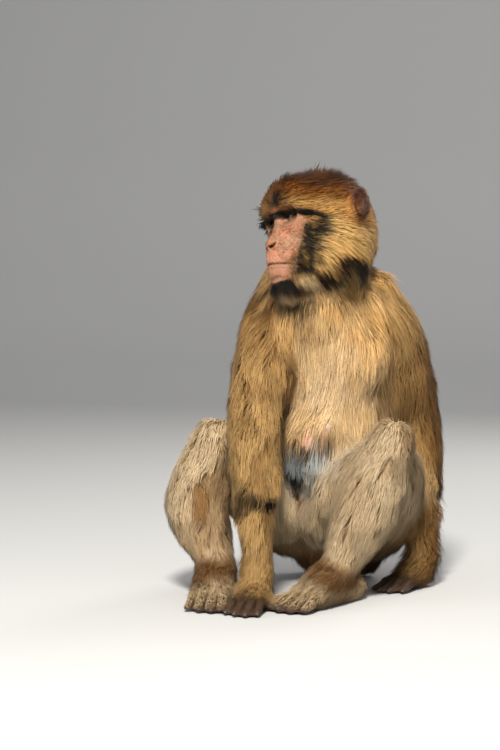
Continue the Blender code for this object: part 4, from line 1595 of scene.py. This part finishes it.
class Lie:
    """The lie, length and stand of the hair at every point of the skin."""

    # out, back and up: over the crown, the cheeks, the jaws, the nape and the chin
    head_ways = ((0.25, 1, 0.25), (0.45, 0.85, -0.45), (0.25, 0.45, -1), (0.1, 0.15, -1), (0.15, 0.25, -1))

    def __init__(self, hide: Hide) -> None:
        """Works the hair's lie out on the skin's points.

        Args:
            hide: The skin.
        """
        self.hide, self.body = hide, hide.body
        self.points, self.normals = hide.work.points, hide.normals
        self.local = self.body.head.local(self.points)
        self.length = self._blend("length")
        self.stand = np.radians(self._blend("stand"))
        self.width = self._blend("width")
        self.density = self._blend("density")
        self.clump = self._blend("clump")
        self._fit_head()
        self._fit_body()
        self._direct()

    def _blend(self, name: str) -> Array:
        """One of the growth's numbers, blended over the regions."""
        return sum(self.hide.weights[:, r.value] * getattr(g, name) for r, g in GROWTH.items())

    def _set(self, mask: Array, length: float | None = None, stand: float | None = None,
             width: float | None = None) -> None:
        """Changes the hair where a mask says so; stand is in degrees.

        Args:
            mask: How much each point changes, from 0 to 1.
            length: The hair's new length.
            stand: The new angle that it stands off at, in degrees.
            width: The tufts' new width.
        """
        if length is not None:
            self.length = lerp(self.length, length, mask)
        if stand is not None:
            self.stand = lerp(self.stand, math.radians(stand), mask)
        if width is not None:
            self.width = lerp(self.width, width, mask)

    def _fit_head(self) -> None:
        """Short hair by the face, upright on the crown, and long in the ruff."""
        x, y, z = self.local.T
        on = self.hide.share(Region.HEAD)
        bare = Face.bare(self.local) * fade(on, 0.3, 0.6)
        beside = np.abs(x) - Face.border(z)
        near_face = fade(-beside, -0.016, 0.0) * fade(-y, 0.01, 0.032) * on
        self._set(near_face, 0.0085, 15, 0.00055)
        self.density *= 1 + 0.8 * near_face
        crown = fade(z, 0.046, 0.068) * on
        self._set(crown, 0.0195, 50, 0.00082)
        self.clump = lerp(self.clump, 0.6, crown)
        self.density *= 1 + 0.25 * crown
        brow = hump(z + 4.0 * x * x, 0.027, 0.0055) * fade(-y, 0.024, 0.04) * on
        self._set(brow, 0.0095, 30, 0.00055)
        self.density *= 1 + 0.9 * brow
        temple = fade(-x, 0.024, 0.038) * fade(z, -0.002, 0.012) * fade(-z, -0.052, -0.04)
        self._set(temple * fade(-y, 0.022, 0.038) * on, 0.016, 44, 0.0007)
        ruff = fade(np.abs(x), 0.026, 0.042) * fade(-z, -0.004, 0.018) * fade(y, -0.036, -0.012) * on
        self._set(ruff, 0.029, 18)
        self.clump = lerp(self.clump, 0.55, ruff)
        nape = fade(y, 0.04, 0.066) * on
        self._set(nape, 0.022, 12)
        chin = fade(-z, 0.055, 0.061) * fade(-y, 0.01, 0.03) * on
        self._set(chin, 0.017, 32, 0.0007)
        self.density *= 1 + 0.5 * chin
        root_of_nose = fade(z, 0.0215, 0.025) * fade(-np.abs(x), -0.012, -0.0085)
        stubble = fade(beside, -0.0075, 0.0) * fade(-z, -0.012, 0.004) * fade(z, -0.056, -0.046)
        self.density *= 1 - bare * (1 - root_of_nose) * (1 - 0.45 * stubble)
        self._set(bare * stubble, 0.0055, 12, 0.00045)
        self._set(bare * root_of_nose, 0.0075, 24, 0.0005)

    def _fit_body(self) -> None:
        """A longer mantle, cuffs, a fluffy belly, and bare palms, soles and finger tips."""
        share, body = self.hide.share, self.body
        _, y, z = self.points.T
        back = share(Region.TRUNK) * fade(y, 0.06, 0.14)
        self._set(back, 0.046)
        belly = body.belly(self.points) * share(Region.TRUNK)
        self._set(belly, 0.014, 34, 0.00085)
        fringe = share(Region.TRUNK) * hump(z, body.fringe_height, 0.011)
        fringe *= fade(-y, -0.045, 0.0)
        self._set(fringe, 0.024, 18, 0.00085)
        self.clump = lerp(self.clump, 0.6, np.maximum(belly, fringe))
        self.density *= 1 + 0.9 * belly
        self.density *= 1 - fade(body.on_breast(self.points), 0.35, 0.95)
        for side in SIDES:
            near = span(self.points - body.wrist[side])
            cuff = fade(-near, -0.05, -0.02) * share(Region.FOREARM, Region.HAND)
            if side == "left":
                self._set(cuff, 0.021, 30)
            else:
                self._set(0.5 * cuff, 0.018, 14)
            knee = span(self.points - body.knee[side])
            self._set(0.8 * fade(-knee, -0.05, -0.03) * share(Region.THIGH, Region.SHIN), 0.013, 3)
        off_digits = fade(body.off_digits(self.points), 0.5, 0.85)
        for region, joints, knuckles in self.hide.paws():
            ahead = body.from_joint(joints, self.points)
            mine = share(region)
            short = mine * fade(ahead, knuckles - 0.022, knuckles + 0.012)
            self._set(short, 0.0052, 6, 0.00055)
            bald = knuckles + (0.032 if region == Region.FOOT else 0.008)
            self.density *= 1 - mine * fade(ahead, bald, bald + 0.012)
            gaps = off_digits * fade(ahead, knuckles - 0.01, knuckles + 0.004)
            self.density *= 1 - 0.95 * mine * gaps
            fluffy = mine * fade(-ahead, -knuckles - 0.004, -knuckles + 0.02)
            self._set(fluffy * (1.0 if region == Region.FOOT else 0.5), 0.016, 22)
        facing = self.normals @ body.head.turn
        in_cup = 0.6 * np.sign(self.local[:, 0]) * facing[:, 0] - 0.8 * facing[:, 1]
        self.density *= 1 - 0.9 * share(Region.EAR) * fade(in_cup, 0.15, 0.5)
        paws = share(Region.HAND, Region.FOOT)
        self.density *= 1 - fade(paws, 0.3, 0.6) * fade(-z, -0.0055, -0.003)
        self.density *= 1 - fade(-self.normals[:, 2], 0.75, 0.95) * fade(-z, -0.02, -0.008)

    def _direct(self) -> None:
        """The way the hair lies, along the skin."""
        flow = np.zeros_like(self.points)
        for region, heading in self._headings().items():
            flow += self.hide.weights[:, region.value][:, None] * heading
        flow = self._along(flow)
        for _ in range(3):
            flow = self._along(self.hide.evener.soften(flow, 4, 0.6))
        self.flow = flow

    def _along(self, vectors: Array) -> Array:
        """Vectors laid along the skin, at length 1."""
        inward = (vectors * self.normals).sum(axis=1)[:, None] * self.normals
        return unit(vectors - inward)

    def _limb(self, start: BySide, end: BySide, fall: float) -> Array:
        """A heading along a limb on each side, with a share of plain fall."""
        left = self.points[:, 0] > self.body.middle_x
        headings = {side: unit(unit(end[side] - start[side]) + fall * DOWN) for side in SIDES}
        return np.where(left[:, None], headings["left"], headings["right"])

    def _headings(self) -> dict[Region, Array]:
        """The hair's heading over the whole skin, as each region would have it."""
        body = self.body
        paws = {}
        for region, joint in ((Region.HAND, body.wrist), (Region.FOOT, body.ankle)):
            name = region.name.lower()
            ends = {side: far_end(f"{name}_{side}", joint[side], 0.3) for side in SIDES}
            left = np.less(*(span(self.points - ends[side]) for side in SIDES))
            aim = {side: unit(ends[side] - joint[side]) for side in SIDES}
            paws[region] = np.where(left[:, None], aim["left"], aim["right"])
        aside = np.tanh((self.points[:, 0] - body.middle_x) / 0.02)
        outward = aside[:, None] * np.array((1.0, 0, 0))
        front = fade(-self.points[:, 1], -0.06, 0.0)[:, None]
        return {
            Region.HEAD: self._head_heading(),
            Region.EAR: np.tile(self.body.head.turn @ np.array((0, 0.6, 0.8)), (len(self.points), 1)),
            Region.NECK: DOWN + outward * 0.3,
            Region.TRUNK: DOWN + outward * (0.18 - 0.4 * front),
            Region.UPPER_ARM: self._limb(body.shoulder, body.elbow, 0.3),
            Region.FOREARM: self._limb(body.elbow, body.wrist, 0.2) + outward * 0.22,
            Region.HAND: paws[Region.HAND],
            Region.THIGH: self._limb(body.hip, body.knee, 0.0) * 0.25 + DOWN,
            Region.SHIN: self._limb(body.knee, body.ankle, 0.3),
            Region.FOOT: paws[Region.FOOT],
        }

    def _head_heading(self) -> Array:
        """Back over the crown, back and down over the cheeks, and down at the chin."""
        x, y, z = self.local.T
        side = np.tanh(x / 0.012)
        crown, cheek, jaw, nape, chin = (
            np.stack((out * side, np.full_like(x, back), np.full_like(x, up)), axis=1)
            for out, back, up in self.head_ways
        )
        heading = lerp(crown, cheek, fade(-z, -0.024, 0.002))
        heading = lerp(heading, jaw, fade(-z, 0.022, 0.05))
        heading = lerp(heading, nape, fade(y, 0.03, 0.062))
        heading = lerp(heading, chin, fade(-z, 0.05, 0.06) * fade(-y, 0.0, 0.02))
        return heading @ self.body.head.turn.T


@dataclass
class Coat:
    """All the tufts, in pieces by where their roots are."""

    tufts: int = 158000
    piece_limit: int = 21800  # tufts
    root_sink: float = 0.001
    softness: float = 0.65  # how far a tuft is shaded as the body under it
    sway: Triple = (0.22, 0.08, 0.09)  # in broad waves, in narrow ones and of each tuft by itself
    lock: int = 15  # tufts
    floor: float = 0.0012
    patch: float = 0.003  # of the unwrap
    across: tuple[float, ...] = (-0.5, 0.5, 0.0, -0.4, 0.4, 0.0, 0.0)
    along: tuple[float, ...] = (-0.5, -0.5, -0.5, 0.0, 0.0, 0.05, 0.5)
    spike: Faces = ((0, 3, 4, 1), (1, 4, 5, 2), (2, 5, 3, 0), (3, 6, 4), (4, 6, 5), (5, 6, 3))

    def build(self, hide: Hide, lie: Lie, markings: Markings) -> list[Object]:
        """Grows the coat.

        Args:
            hide: The skin.
            lie: The lie of the hair on it.
            markings: The colours.

        Returns:
            The coat's pieces.
        """
        self.hide, self.lie, self.markings = hide, lie, markings
        self.rng = np.random.default_rng(SEED)
        self._plant()
        self._bend()
        self._gather()
        material = CoatFinish().make()
        return [self._piece(name, chosen, material) for name, chosen in self._pieces().items() if len(chosen)]

    def _plant(self) -> None:
        """Scatters roots over the skin, as thick as the region has them."""
        cuts = [(start, face, i) for start, face in zip(self.hide.loop_start, self.hide.work.faces)
                for i in range(1, len(face) - 1)]
        tri = np.array([(face[0], face[i], face[i + 1]) for _, face, i in cuts])
        corner = np.array([(start, start + i, start + i + 1) for start, _, i in cuts])
        p = self.hide.work.points
        area = span(np.cross(p[tri[:, 1]] - p[tri[:, 0]], p[tri[:, 2]] - p[tri[:, 0]])) / 2
        weight = area * np.maximum(self.lie.density[tri].mean(axis=1), 0)
        pick = self.rng.choice(len(tri), size=self.tufts, p=weight / weight.sum())
        a, b = self.rng.random((2, self.tufts))
        flip = a + b > 1
        a, b = np.where(flip, 1 - a, a), np.where(flip, 1 - b, b)
        self.bary = np.stack((1 - a - b, a, b), axis=1)
        self.tri = tri[pick]
        self.root = self._at(p)
        self.normal = unit(self._at(self.hide.normals))
        uv = self.hide.uv[corner[pick]]
        self.uv = (uv * self.bary[:, :, None]).sum(axis=1)

    def _at(self, values: Array) -> Array:
        """Values kept on the skin's points, read at the roots."""
        picked = values[self.tri]
        if values.ndim == 1:
            return (picked * self.bary).sum(axis=1)
        return (picked * self.bary[:, :, None]).sum(axis=1)

    def _bend(self) -> None:
        """Gives each tuft its length and width, and lays it along the body inside the coat's depth."""
        count, rng, lie = self.tufts, self.rng, self.lie
        self.nearest_skin = KDTree(len(self.hide.work.points))
        for i, point in enumerate(self.hide.work.points):
            self.nearest_skin.insert(point, i)
        self.nearest_skin.balance()
        length = self._at(lie.length) * np.clip(rng.normal(1.0, 0.2, count), 0.5, 1.5)
        self.width = self._at(lie.width) * rng.uniform(0.7, 1.3, count)
        stand = self._at(lie.stand) * np.clip(rng.normal(1.0, 0.3, count), 0.1, 1.7)
        flow = unit(self._at(lie.flow))
        broad, narrow, single = self.sway
        sway = broad * Waves(11, 0.055).at(self.root) + narrow * Waves(12, 0.016).at(self.root)
        sway += rng.normal(0, single, count)
        flow = unit(flow + np.cross(self.normal, flow) * sway[:, None])
        self.side = unit(np.cross(self.normal, flow))
        depth = self._at(np.asarray(self.hide.soft_depth, float)) + 0.0008
        rise = np.maximum(depth * rng.uniform(0.45, 1.1, count), length * np.sin(stand))
        reach = length * np.cos(stand)
        for share in (0.35, 0.65, 0.95):
            hides = self.hide.body.on_breast(self.root + flow * (share * length)[:, None])
            reach *= 1 - 0.8 * hides * (self.root[:, 1] < 0)
        self.start = self.root - self.normal * self.root_sink
        self.middle, way, self.under_middle = self._walk(self.root, flow, 0.45 * reach, 0.66 * rise)
        self.end, _, self.under_end = self._walk(self.middle, way, 0.55 * reach, rise)
        self.end += 0.05 * length[:, None] * (DOWN + 0.8 * rng.normal(size=(count, 3)))

    def _walk(self, start: Array, way: Array, step: Array,
              height: Array) -> tuple[Array, Array, Array]:
        """Goes on along the skin from some places, to a height above it.

        Args:
            start: Where each walk starts.
            way: Its heading.
            step: How far it goes.
            height: How high above the skin it ends.

        Returns:
            Where each walk ends, its heading there, and which point of the skin is under it.
        """
        goal = start + way * step[:, None]
        near = np.array([self.nearest_skin.find(point)[1] for point in goal])
        normal = self.hide.normals[near]
        off = ((goal - self.hide.work.points[near]) * normal).sum(axis=1)
        laid = goal + normal * (height - off)[:, None]
        straight = goal + self.normal * (0.6 * height)[:, None]
        same = fade((normal * self.normal).sum(axis=1), 0.15, 0.45) * fade(-np.abs(off), -0.024, -0.014)
        end = lerp(straight, laid, same)
        onward = way + 0.8 * self.lie.flow[near] * same[:, None]
        onward -= normal * ((onward * normal).sum(axis=1) * same)[:, None]
        return end, unit(onward), near

    def _gather(self) -> None:
        """Draws neighbouring tufts together into locks."""
        seeds = np.arange(0, self.tufts, self.lock)
        tree = KDTree(len(seeds))
        for i, seed in enumerate(seeds):
            tree.insert(self.root[seed], i)
        tree.balance()
        nearest = seeds[[tree.find(Vector(p))[1] for p in self.root]]
        uneven = self.rng.normal(0.0, 0.3, self.tufts)[nearest]
        self.lock_light = np.clip(1 + uneven * self._at(self.lie.clump), 0.72, 1.28)
        pull = np.clip(self._at(self.lie.clump) * self.rng.uniform(0.5, 1.3, self.tufts), 0, 0.9)[:, None]
        spread = self.root - self.root[nearest]
        close = fade(-span(spread), -0.014, -0.006)[:, None]
        alike = fade((self.normal * self.normal[nearest]).sum(axis=1), 0.5, 0.8)[:, None]
        self.end = lerp(self.end, self.end[nearest] + 0.35 * spread, pull * close * alike)
        self.middle = lerp(self.middle, self.middle[nearest] + 0.8 * spread, 0.5 * pull * close * alike)
        for points in (self.middle, self.end):
            points[:, 2] = np.maximum(points[:, 2], self.floor)

    def _pieces(self) -> BySide:
        """The tufts of each piece of the coat."""
        region = np.stack([self._at(self.hide.weights[:, r.value]) for r in Region], axis=1).argmax(axis=1)
        left = self.root[:, 0] > self.hide.body.middle_x
        low, high = self.hide.body.trunk_low[1], self.hide.body.trunk_high[1]
        back = self.root[:, 1] > low + 0.5 * np.ptp([low, high])
        upper = self.root[:, 2] > 0.2

        def among(*regions: Region) -> Array:
            """Which tufts grow on some regions."""
            return np.isin(region, [r.value for r in regions])

        trunk = among(Region.TRUNK)
        found = {
            "coat_head": among(Region.HEAD, Region.EAR),
            "coat_neck": among(Region.NECK),
            "coat_chest": trunk & ~back & upper,
            "coat_belly": trunk & ~back & ~upper,
            "coat_shoulders": trunk & back & upper,
            "coat_rump": trunk & back & ~upper,
        }
        for side, here in (("left", left), ("right", ~left)):
            found[f"coat_arm_{side}"] = among(Region.UPPER_ARM, Region.FOREARM, Region.HAND) & here
            found[f"coat_leg_{side}"] = among(Region.THIGH, Region.SHIN, Region.FOOT) & here
        pieces: BySide = {}
        for name, mask in found.items():
            chosen = np.flatnonzero(mask)
            parts = max(1, math.ceil(len(chosen) / self.piece_limit))
            if parts == 1:
                pieces[name] = chosen
                continue
            order = chosen[np.argsort(self.root[chosen, 2])]
            for k, part in enumerate(np.array_split(order, parts)):
                pieces[f"{name}_{'abcdef'[k]}"] = part
        return pieces

    def _piece(self, name: str, chosen: Array, material: Material) -> Object:
        """Makes the mesh of some tufts: three-sided spikes with a bend.

        Args:
            name: What the piece is called.
            chosen: Its tufts.
            material: Its finish.

        Returns:
            The piece.
        """
        n = len(chosen)
        side, width = self.side[chosen], self.width[chosen][:, None]
        start, middle, end = self.start[chosen], self.middle[chosen], self.end[chosen]
        over = unit(np.cross(middle - start, side))
        rings = []
        for centre, share in ((start, 1.0), (middle, 0.85)):
            half = 0.5 * share * width
            rings += [centre - side * half, centre + side * half, centre - over * half * 0.9]
        points = np.stack([*rings, end], axis=1).reshape(-1, 3)
        corners = len(self.across)
        base = corners * np.arange(n)[:, None]
        loops = np.concatenate([base + np.array(face) for face in self.spike], axis=1).ravel()
        sizes = np.tile([len(face) for face in self.spike], n)
        mesh = bpy.data.meshes.new(name)
        mesh.vertices.add(corners * n)
        mesh.vertices.foreach_set("co", points.ravel())
        mesh.loops.add(len(loops))
        mesh.loops.foreach_set("vertex_index", loops)
        mesh.polygons.add(len(sizes))
        mesh.polygons.foreach_set("loop_start", np.concatenate(([0], np.cumsum(sizes)[:-1])))
        mesh.polygons.foreach_set("use_smooth", np.ones(len(sizes), bool))
        mesh.update(calc_edges=True)
        mesh.normals_split_custom_set_from_vertices(self._soft_normals(chosen, over))
        store(mesh, "tint", self._tints(chosen))
        self._lay_uv(mesh, chosen, loops)
        mesh.validate()
        mesh.materials.append(material)
        obj = new_object(name, mesh)
        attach(obj, "root")
        return obj

    def _soft_normals(self, chosen: Array, over: Array) -> Array:
        """The way each point of each tuft faces, turned most of the way to the body's own facing.

        Args:
            chosen: The tufts.
            over: The way across each tuft, away from the skin.

        Returns:
            A row for each of their points.
        """
        side, body = self.side[chosen], self.hide.normals
        grounds = (self.normal[chosen], body[self.under_middle[chosen]])
        rows = [unit(lerp(own, ground, self.softness)) for ground in grounds for own in (-side, side, -over)]
        return np.stack([*rows, body[self.under_end[chosen]]], axis=1).reshape(-1, 3)

    def _tints(self, chosen: Array) -> Array:
        """Colours of the seven points of each tuft, from a root dimmed as painted shade to tip.

        Args:
            chosen: The tufts.

        Returns:
            A row for each of their points.
        """
        n = len(chosen)
        hair = self._at(self.markings.hair)[chosen]
        onward = self.markings.hair[self.under_middle[chosen]]
        tip = self.markings.tip[self.under_end[chosen]]
        rng = np.random.default_rng(SEED + n)
        light = np.clip(rng.normal(1.0, 0.11, n) * self.lock_light[chosen], 0.6, 1.4)[:, None]
        share = self._at(self.markings.tipping)[chosen][:, None]
        tipped = np.clip(rng.normal(0.75, 0.35, n), 0.0, 1.0)[:, None]
        share = np.clip(share * rng.uniform(0.3, 1.7, (n, 1)), 0, 1)
        # roots dimmed to 0.7: painted shade deep in the coat
        root, middle = hair * 0.7 * light, lerp(onward, tip, share) * light
        end = lerp(self.markings.hair[self.under_end[chosen]], tip, tipped) * light
        return np.stack([root, root, root, middle, middle, middle, end], axis=1).reshape(-1, 3)

    def _lay_uv(self, mesh: Mesh, chosen: Array, loops: Array) -> None:
        """Lays each tuft as a small patch at its root's place on the unwrap of the skin.

        Args:
            mesh: The tufts' mesh.
            chosen: The tufts.
            loops: The point at each corner of each face.
        """
        offsets = np.stack((self.across, self.along), axis=1) * self.patch
        places = (self.uv[chosen][:, None, :] + offsets[None]).reshape(-1, 2)
        layer = mesh.uv_layers.new(name="OFBake")
        layer.uv.foreach_set("vector", np.clip(places, 0.0, 1.0)[loops].ravel())


# ---- eyes and nails


@dataclass
class Eyes:
    """Two eyeballs with bulging corneas, looking ahead."""

    bulge: float = 0.0007
    rings: int = 28
    spokes: int = 40

    def build(self, body: Body) -> list[Object]:
        """Makes both eyeballs.

        Args:
            body: The body, for the head's axes.

        Returns:
            The eyeballs.
        """
        material = EyeFinish().make()
        return [self._eye(side, body.head, material) for side in SIDES]

    def _eye(self, side: str, head: HeadFrame, material: Material) -> Object:
        """One eyeball, turned round its own gaze.

        Args:
            side: Which eye: left or right.
            head: The head's axes.
            material: Its finish.

        Returns:
            The eyeball.
        """
        polar = np.linspace(0, math.pi, self.rings + 1)[1:-1]
        points = [(0.0, -1.0, 0.0)]
        for a in polar:
            for b in (2 * math.pi * k / self.spokes for k in range(self.spokes)):
                points.append((math.sin(a) * math.cos(b), -math.cos(a), math.sin(a) * math.sin(b)))
        points.append((0.0, 1.0, 0.0))
        rows = np.array(points)
        off = np.arccos(np.clip(-rows[:, 1], -1, 1))
        radius = head.eye_radius + self.bulge * fade(-off, -0.62, -0.35)
        place = rows * radius[:, None]
        faces: list[tuple[int, ...]] = []
        n, last = self.spokes, len(points) - 1
        final = len(polar) - 1
        for k in range(n):
            m = (k + 1) % n
            faces.append((0, 1 + k, 1 + m))
            for r in range(final):
                first, second = 1 + r * n, 1 + (r + 1) * n
                faces.append((first + k, second + k, second + m, first + m))
            faces.append((last, 1 + final * n + m, 1 + final * n + k))
        obj = object_from(f"eyeball_{side}", place @ head.turn.T + head.eye[side], faces)
        store(obj.data, "off_axis", off)
        obj.data.materials.append(material)
        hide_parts(f"eye_{side}")
        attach(obj, "root")
        return obj


@dataclass
class Nails:
    """Nails on the tips of all the fingers and toes."""

    wide: float = 0.0046
    long: float = 0.007
    thick: float = 0.0007
    proud: float = 0.0004
    floor: float = 0.0007
    rows: int = 6
    columns: int = 7

    def build(self, body: Body, hide: Hide) -> Object:
        """Makes all the nails as one piece.

        Args:
            body: The joints.
            hide: The skin that they sit on.

        Returns:
            The piece.
        """
        tree = BVHTree.FromPolygons([tuple(p) for p in hide.work.points], hide.work.faces)
        points: list[Array] = []
        faces: list[tuple[int, ...]] = []
        for knuckle, tip, digit in body.digit_lines:
            self._nail(tree, knuckle, tip, digit, points, faces)
        obj = object_from("nails", np.array(points), faces)
        obj.data.materials.append(NailFinish().make())
        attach(obj, "root")
        return obj

    def _nail(self, tree: BVHTree, knuckle: Array, tip: Array, digit: Digit,
              points: list[Array], faces: list[tuple[int, ...]]) -> None:
        """Adds one nail: a plate bent over the end of its digit.

        Args:
            tree: The skin, to search.
            knuckle: The digit's root.
            tip: Its end.
            digit: Its sizes.
            points: All the nails' points so far.
            faces: Their faces.
        """
        heading = Vector(tip - knuckle).normalized()
        place = Vector(tip) + heading * digit.girth * 0.55
        place.z = digit.girth * 1.5
        ahead = Vector((heading.x, heading.y, -0.45)).normalized()
        hit, normal, _, _ = tree.find_nearest(place)
        up = (Vector((0, 0, 1)) * 0.8 + normal * 0.6).normalized()
        side = ahead.cross(up).normalized()
        up = side.cross(ahead).normalized()
        first, rows, columns = len(points), self.rows, self.columns
        for layer in (0, 1):
            for i in range(rows):
                t = i / (rows - 1)
                half = self.wide / 2 * (1 - 0.28 * abs(2 * t - 1) ** 3)
                for j in range(columns):
                    s = 2 * j / (columns - 1) - 1
                    bend = 0.42 * self.wide * (1 - math.sqrt(max(0.0, 1 - 0.85 * s * s)))
                    dip = 0.0012 * (t - 0.3) ** 2 * 2
                    point = hit + ahead * (t - 0.45) * self.long + side * s * half
                    point += up * (self.proud + self.thick * (0.5 - layer) - bend - dip)
                    point.z = max(point.z, self.floor)
                    points.append(np.array(point))
        size = rows * columns

        def at(layer: int, i: int, j: int) -> int:
            """The place of a point in the list."""
            return first + layer * size + i * columns + j

        for i in range(rows - 1):
            for j in range(columns - 1):
                faces.append((at(0, i, j), at(0, i, j + 1), at(0, i + 1, j + 1), at(0, i + 1, j)))
                faces.append((at(1, i, j), at(1, i + 1, j), at(1, i + 1, j + 1), at(1, i, j + 1)))
        for i in range(rows - 1):
            faces.append((at(0, i, 0), at(0, i + 1, 0), at(1, i + 1, 0), at(1, i, 0)))
            end = columns - 1
            faces.append((at(0, i, end), at(1, i, end), at(1, i + 1, end), at(0, i + 1, end)))
        for j in range(columns - 1):
            end = rows - 1
            faces.append((at(0, 0, j), at(1, 0, j), at(1, 0, j + 1), at(0, 0, j + 1)))
            faces.append((at(0, end, j), at(0, end, j + 1), at(1, end, j + 1), at(1, end, j)))


# ---- the studio


@dataclass(frozen=True)
class Lamp:
    """A soft light: where it hangs, its size and its power."""

    name: str
    place: Triple
    size: float
    power: float
    colour: Triple


@dataclass
class Studio:
    """Floor, soft lights and camera."""

    azimuth: float = 18.0
    pitch: float = -2.9
    height: float = 0.385
    across: float = 0.6263
    ahead: float = 2.1266
    lens: float = 85.0
    film: float = 36.0
    aim: float = 0.27  # height that the lamps point at
    sky: float = 0.4
    floor_drop: float = 0.0004
    floor_side: float = 9.0
    floor_rise: tuple[tuple[float, float], ...] = (
        (-6.0, 0.0), (3.2, 0.0), (3.9, 0.1), (4.4, 0.42), (4.7, 0.95), (4.8, 1.8), (4.8, 6.0),
    )
    lamps: tuple[Lamp, ...] = (
        Lamp("key", (0.45, -2.2, 2.25), 0.55, 158.0, (1.0, 0.95, 0.87)),
        Lamp("fill", (-2.2, -1.2, 1.2), 1.8, 12.0, (0.97, 0.97, 1.0)),
        Lamp("rim", (0.9, 1.9, 1.7), 1.2, 26.0, (1.0, 0.96, 0.9)),
    )

    def build(self) -> None:
        """Makes the floor, the light and the camera."""
        self._floor()
        for lamp in self.lamps:
            self._lamp(lamp)
        self._sky()
        self._camera()
        view = bpy.context.scene.view_settings
        view.view_transform = "Standard"
        view.look = "None"

    def _floor(self) -> None:
        """A wide pale floor that curves up far behind."""
        sides = (-self.floor_side, self.floor_side)
        points = [(x, y, z - self.floor_drop) for y, z in self.floor_rise for x in sides]
        faces = [(2 * i, 2 * i + 1, 2 * i + 3, 2 * i + 2) for i in range(len(self.floor_rise) - 1)]
        floor = object_from("studio_floor", np.array(points), faces)
        floor.data.materials.append(FloorFinish().make())

    def _lamp(self, lamp: Lamp) -> None:
        """Hangs one lamp, aimed at the model's middle.

        Args:
            lamp: The lamp.
        """
        light = bpy.data.lights.new(lamp.name, "AREA")
        light.shape = "DISK"
        light.size = lamp.size
        light.energy = lamp.power
        light.color = lamp.colour
        obj = bpy.data.objects.new(lamp.name, light)
        obj.location = lamp.place
        beam = Vector((0, 0, self.aim)) - Vector(lamp.place)
        obj.rotation_euler = beam.to_track_quat("-Z", "Y").to_euler()
        bpy.context.scene.collection.objects.link(obj)

    def _sky(self) -> None:
        """Even pale light from all round."""
        world = bpy.data.worlds.new("studio")
        world.use_nodes = True
        ground = world.node_tree.nodes["Background"]
        ground.inputs["Color"].default_value = (0.98, 0.98, 1.0, 1.0)
        ground.inputs["Strength"].default_value = self.sky
        bpy.context.scene.world = world

    def _camera(self) -> None:
        """Stands the camera at the animal's front left, level with its chin."""
        data = bpy.data.cameras.new("camera")
        data.lens = self.lens
        data.sensor_width = self.film
        camera = bpy.data.objects.new("camera", data)
        a, p = math.radians(self.azimuth), math.radians(self.pitch)
        gaze = Vector((-math.sin(a) * math.cos(p), math.cos(a) * math.cos(p), math.sin(p)))
        camera.location = (self.across, -self.ahead, self.height)
        camera.rotation_euler = gaze.to_track_quat("-Z", "Y").to_euler()
        bpy.context.scene.collection.objects.link(camera)
        bpy.context.scene.camera = camera


def main() -> None:
    """Builds the skin, coat, eyes, nails and studio in order."""
    logging.basicConfig(level=logging.INFO, format="%(name)s: %(message)s")
    body = Body()
    log.info("joints found, eye radius %.4f m", body.head.eye_radius)
    hide = Hide().build(body)
    log.info("skin shaped, %d points", len(hide.work.points))
    markings = Markings(hide, Palette())
    skin = hide.finish(markings)
    log.info("%s: %d faces", skin.name, len(skin.data.polygons))
    for piece in Coat().build(hide, Lie(hide), markings) + Eyes().build(body) + [Nails().build(body, hide)]:
        log.info("%s: %d faces", piece.name, len(piece.data.polygons))
    Studio().build()


if __name__ == "__main__":
    main()
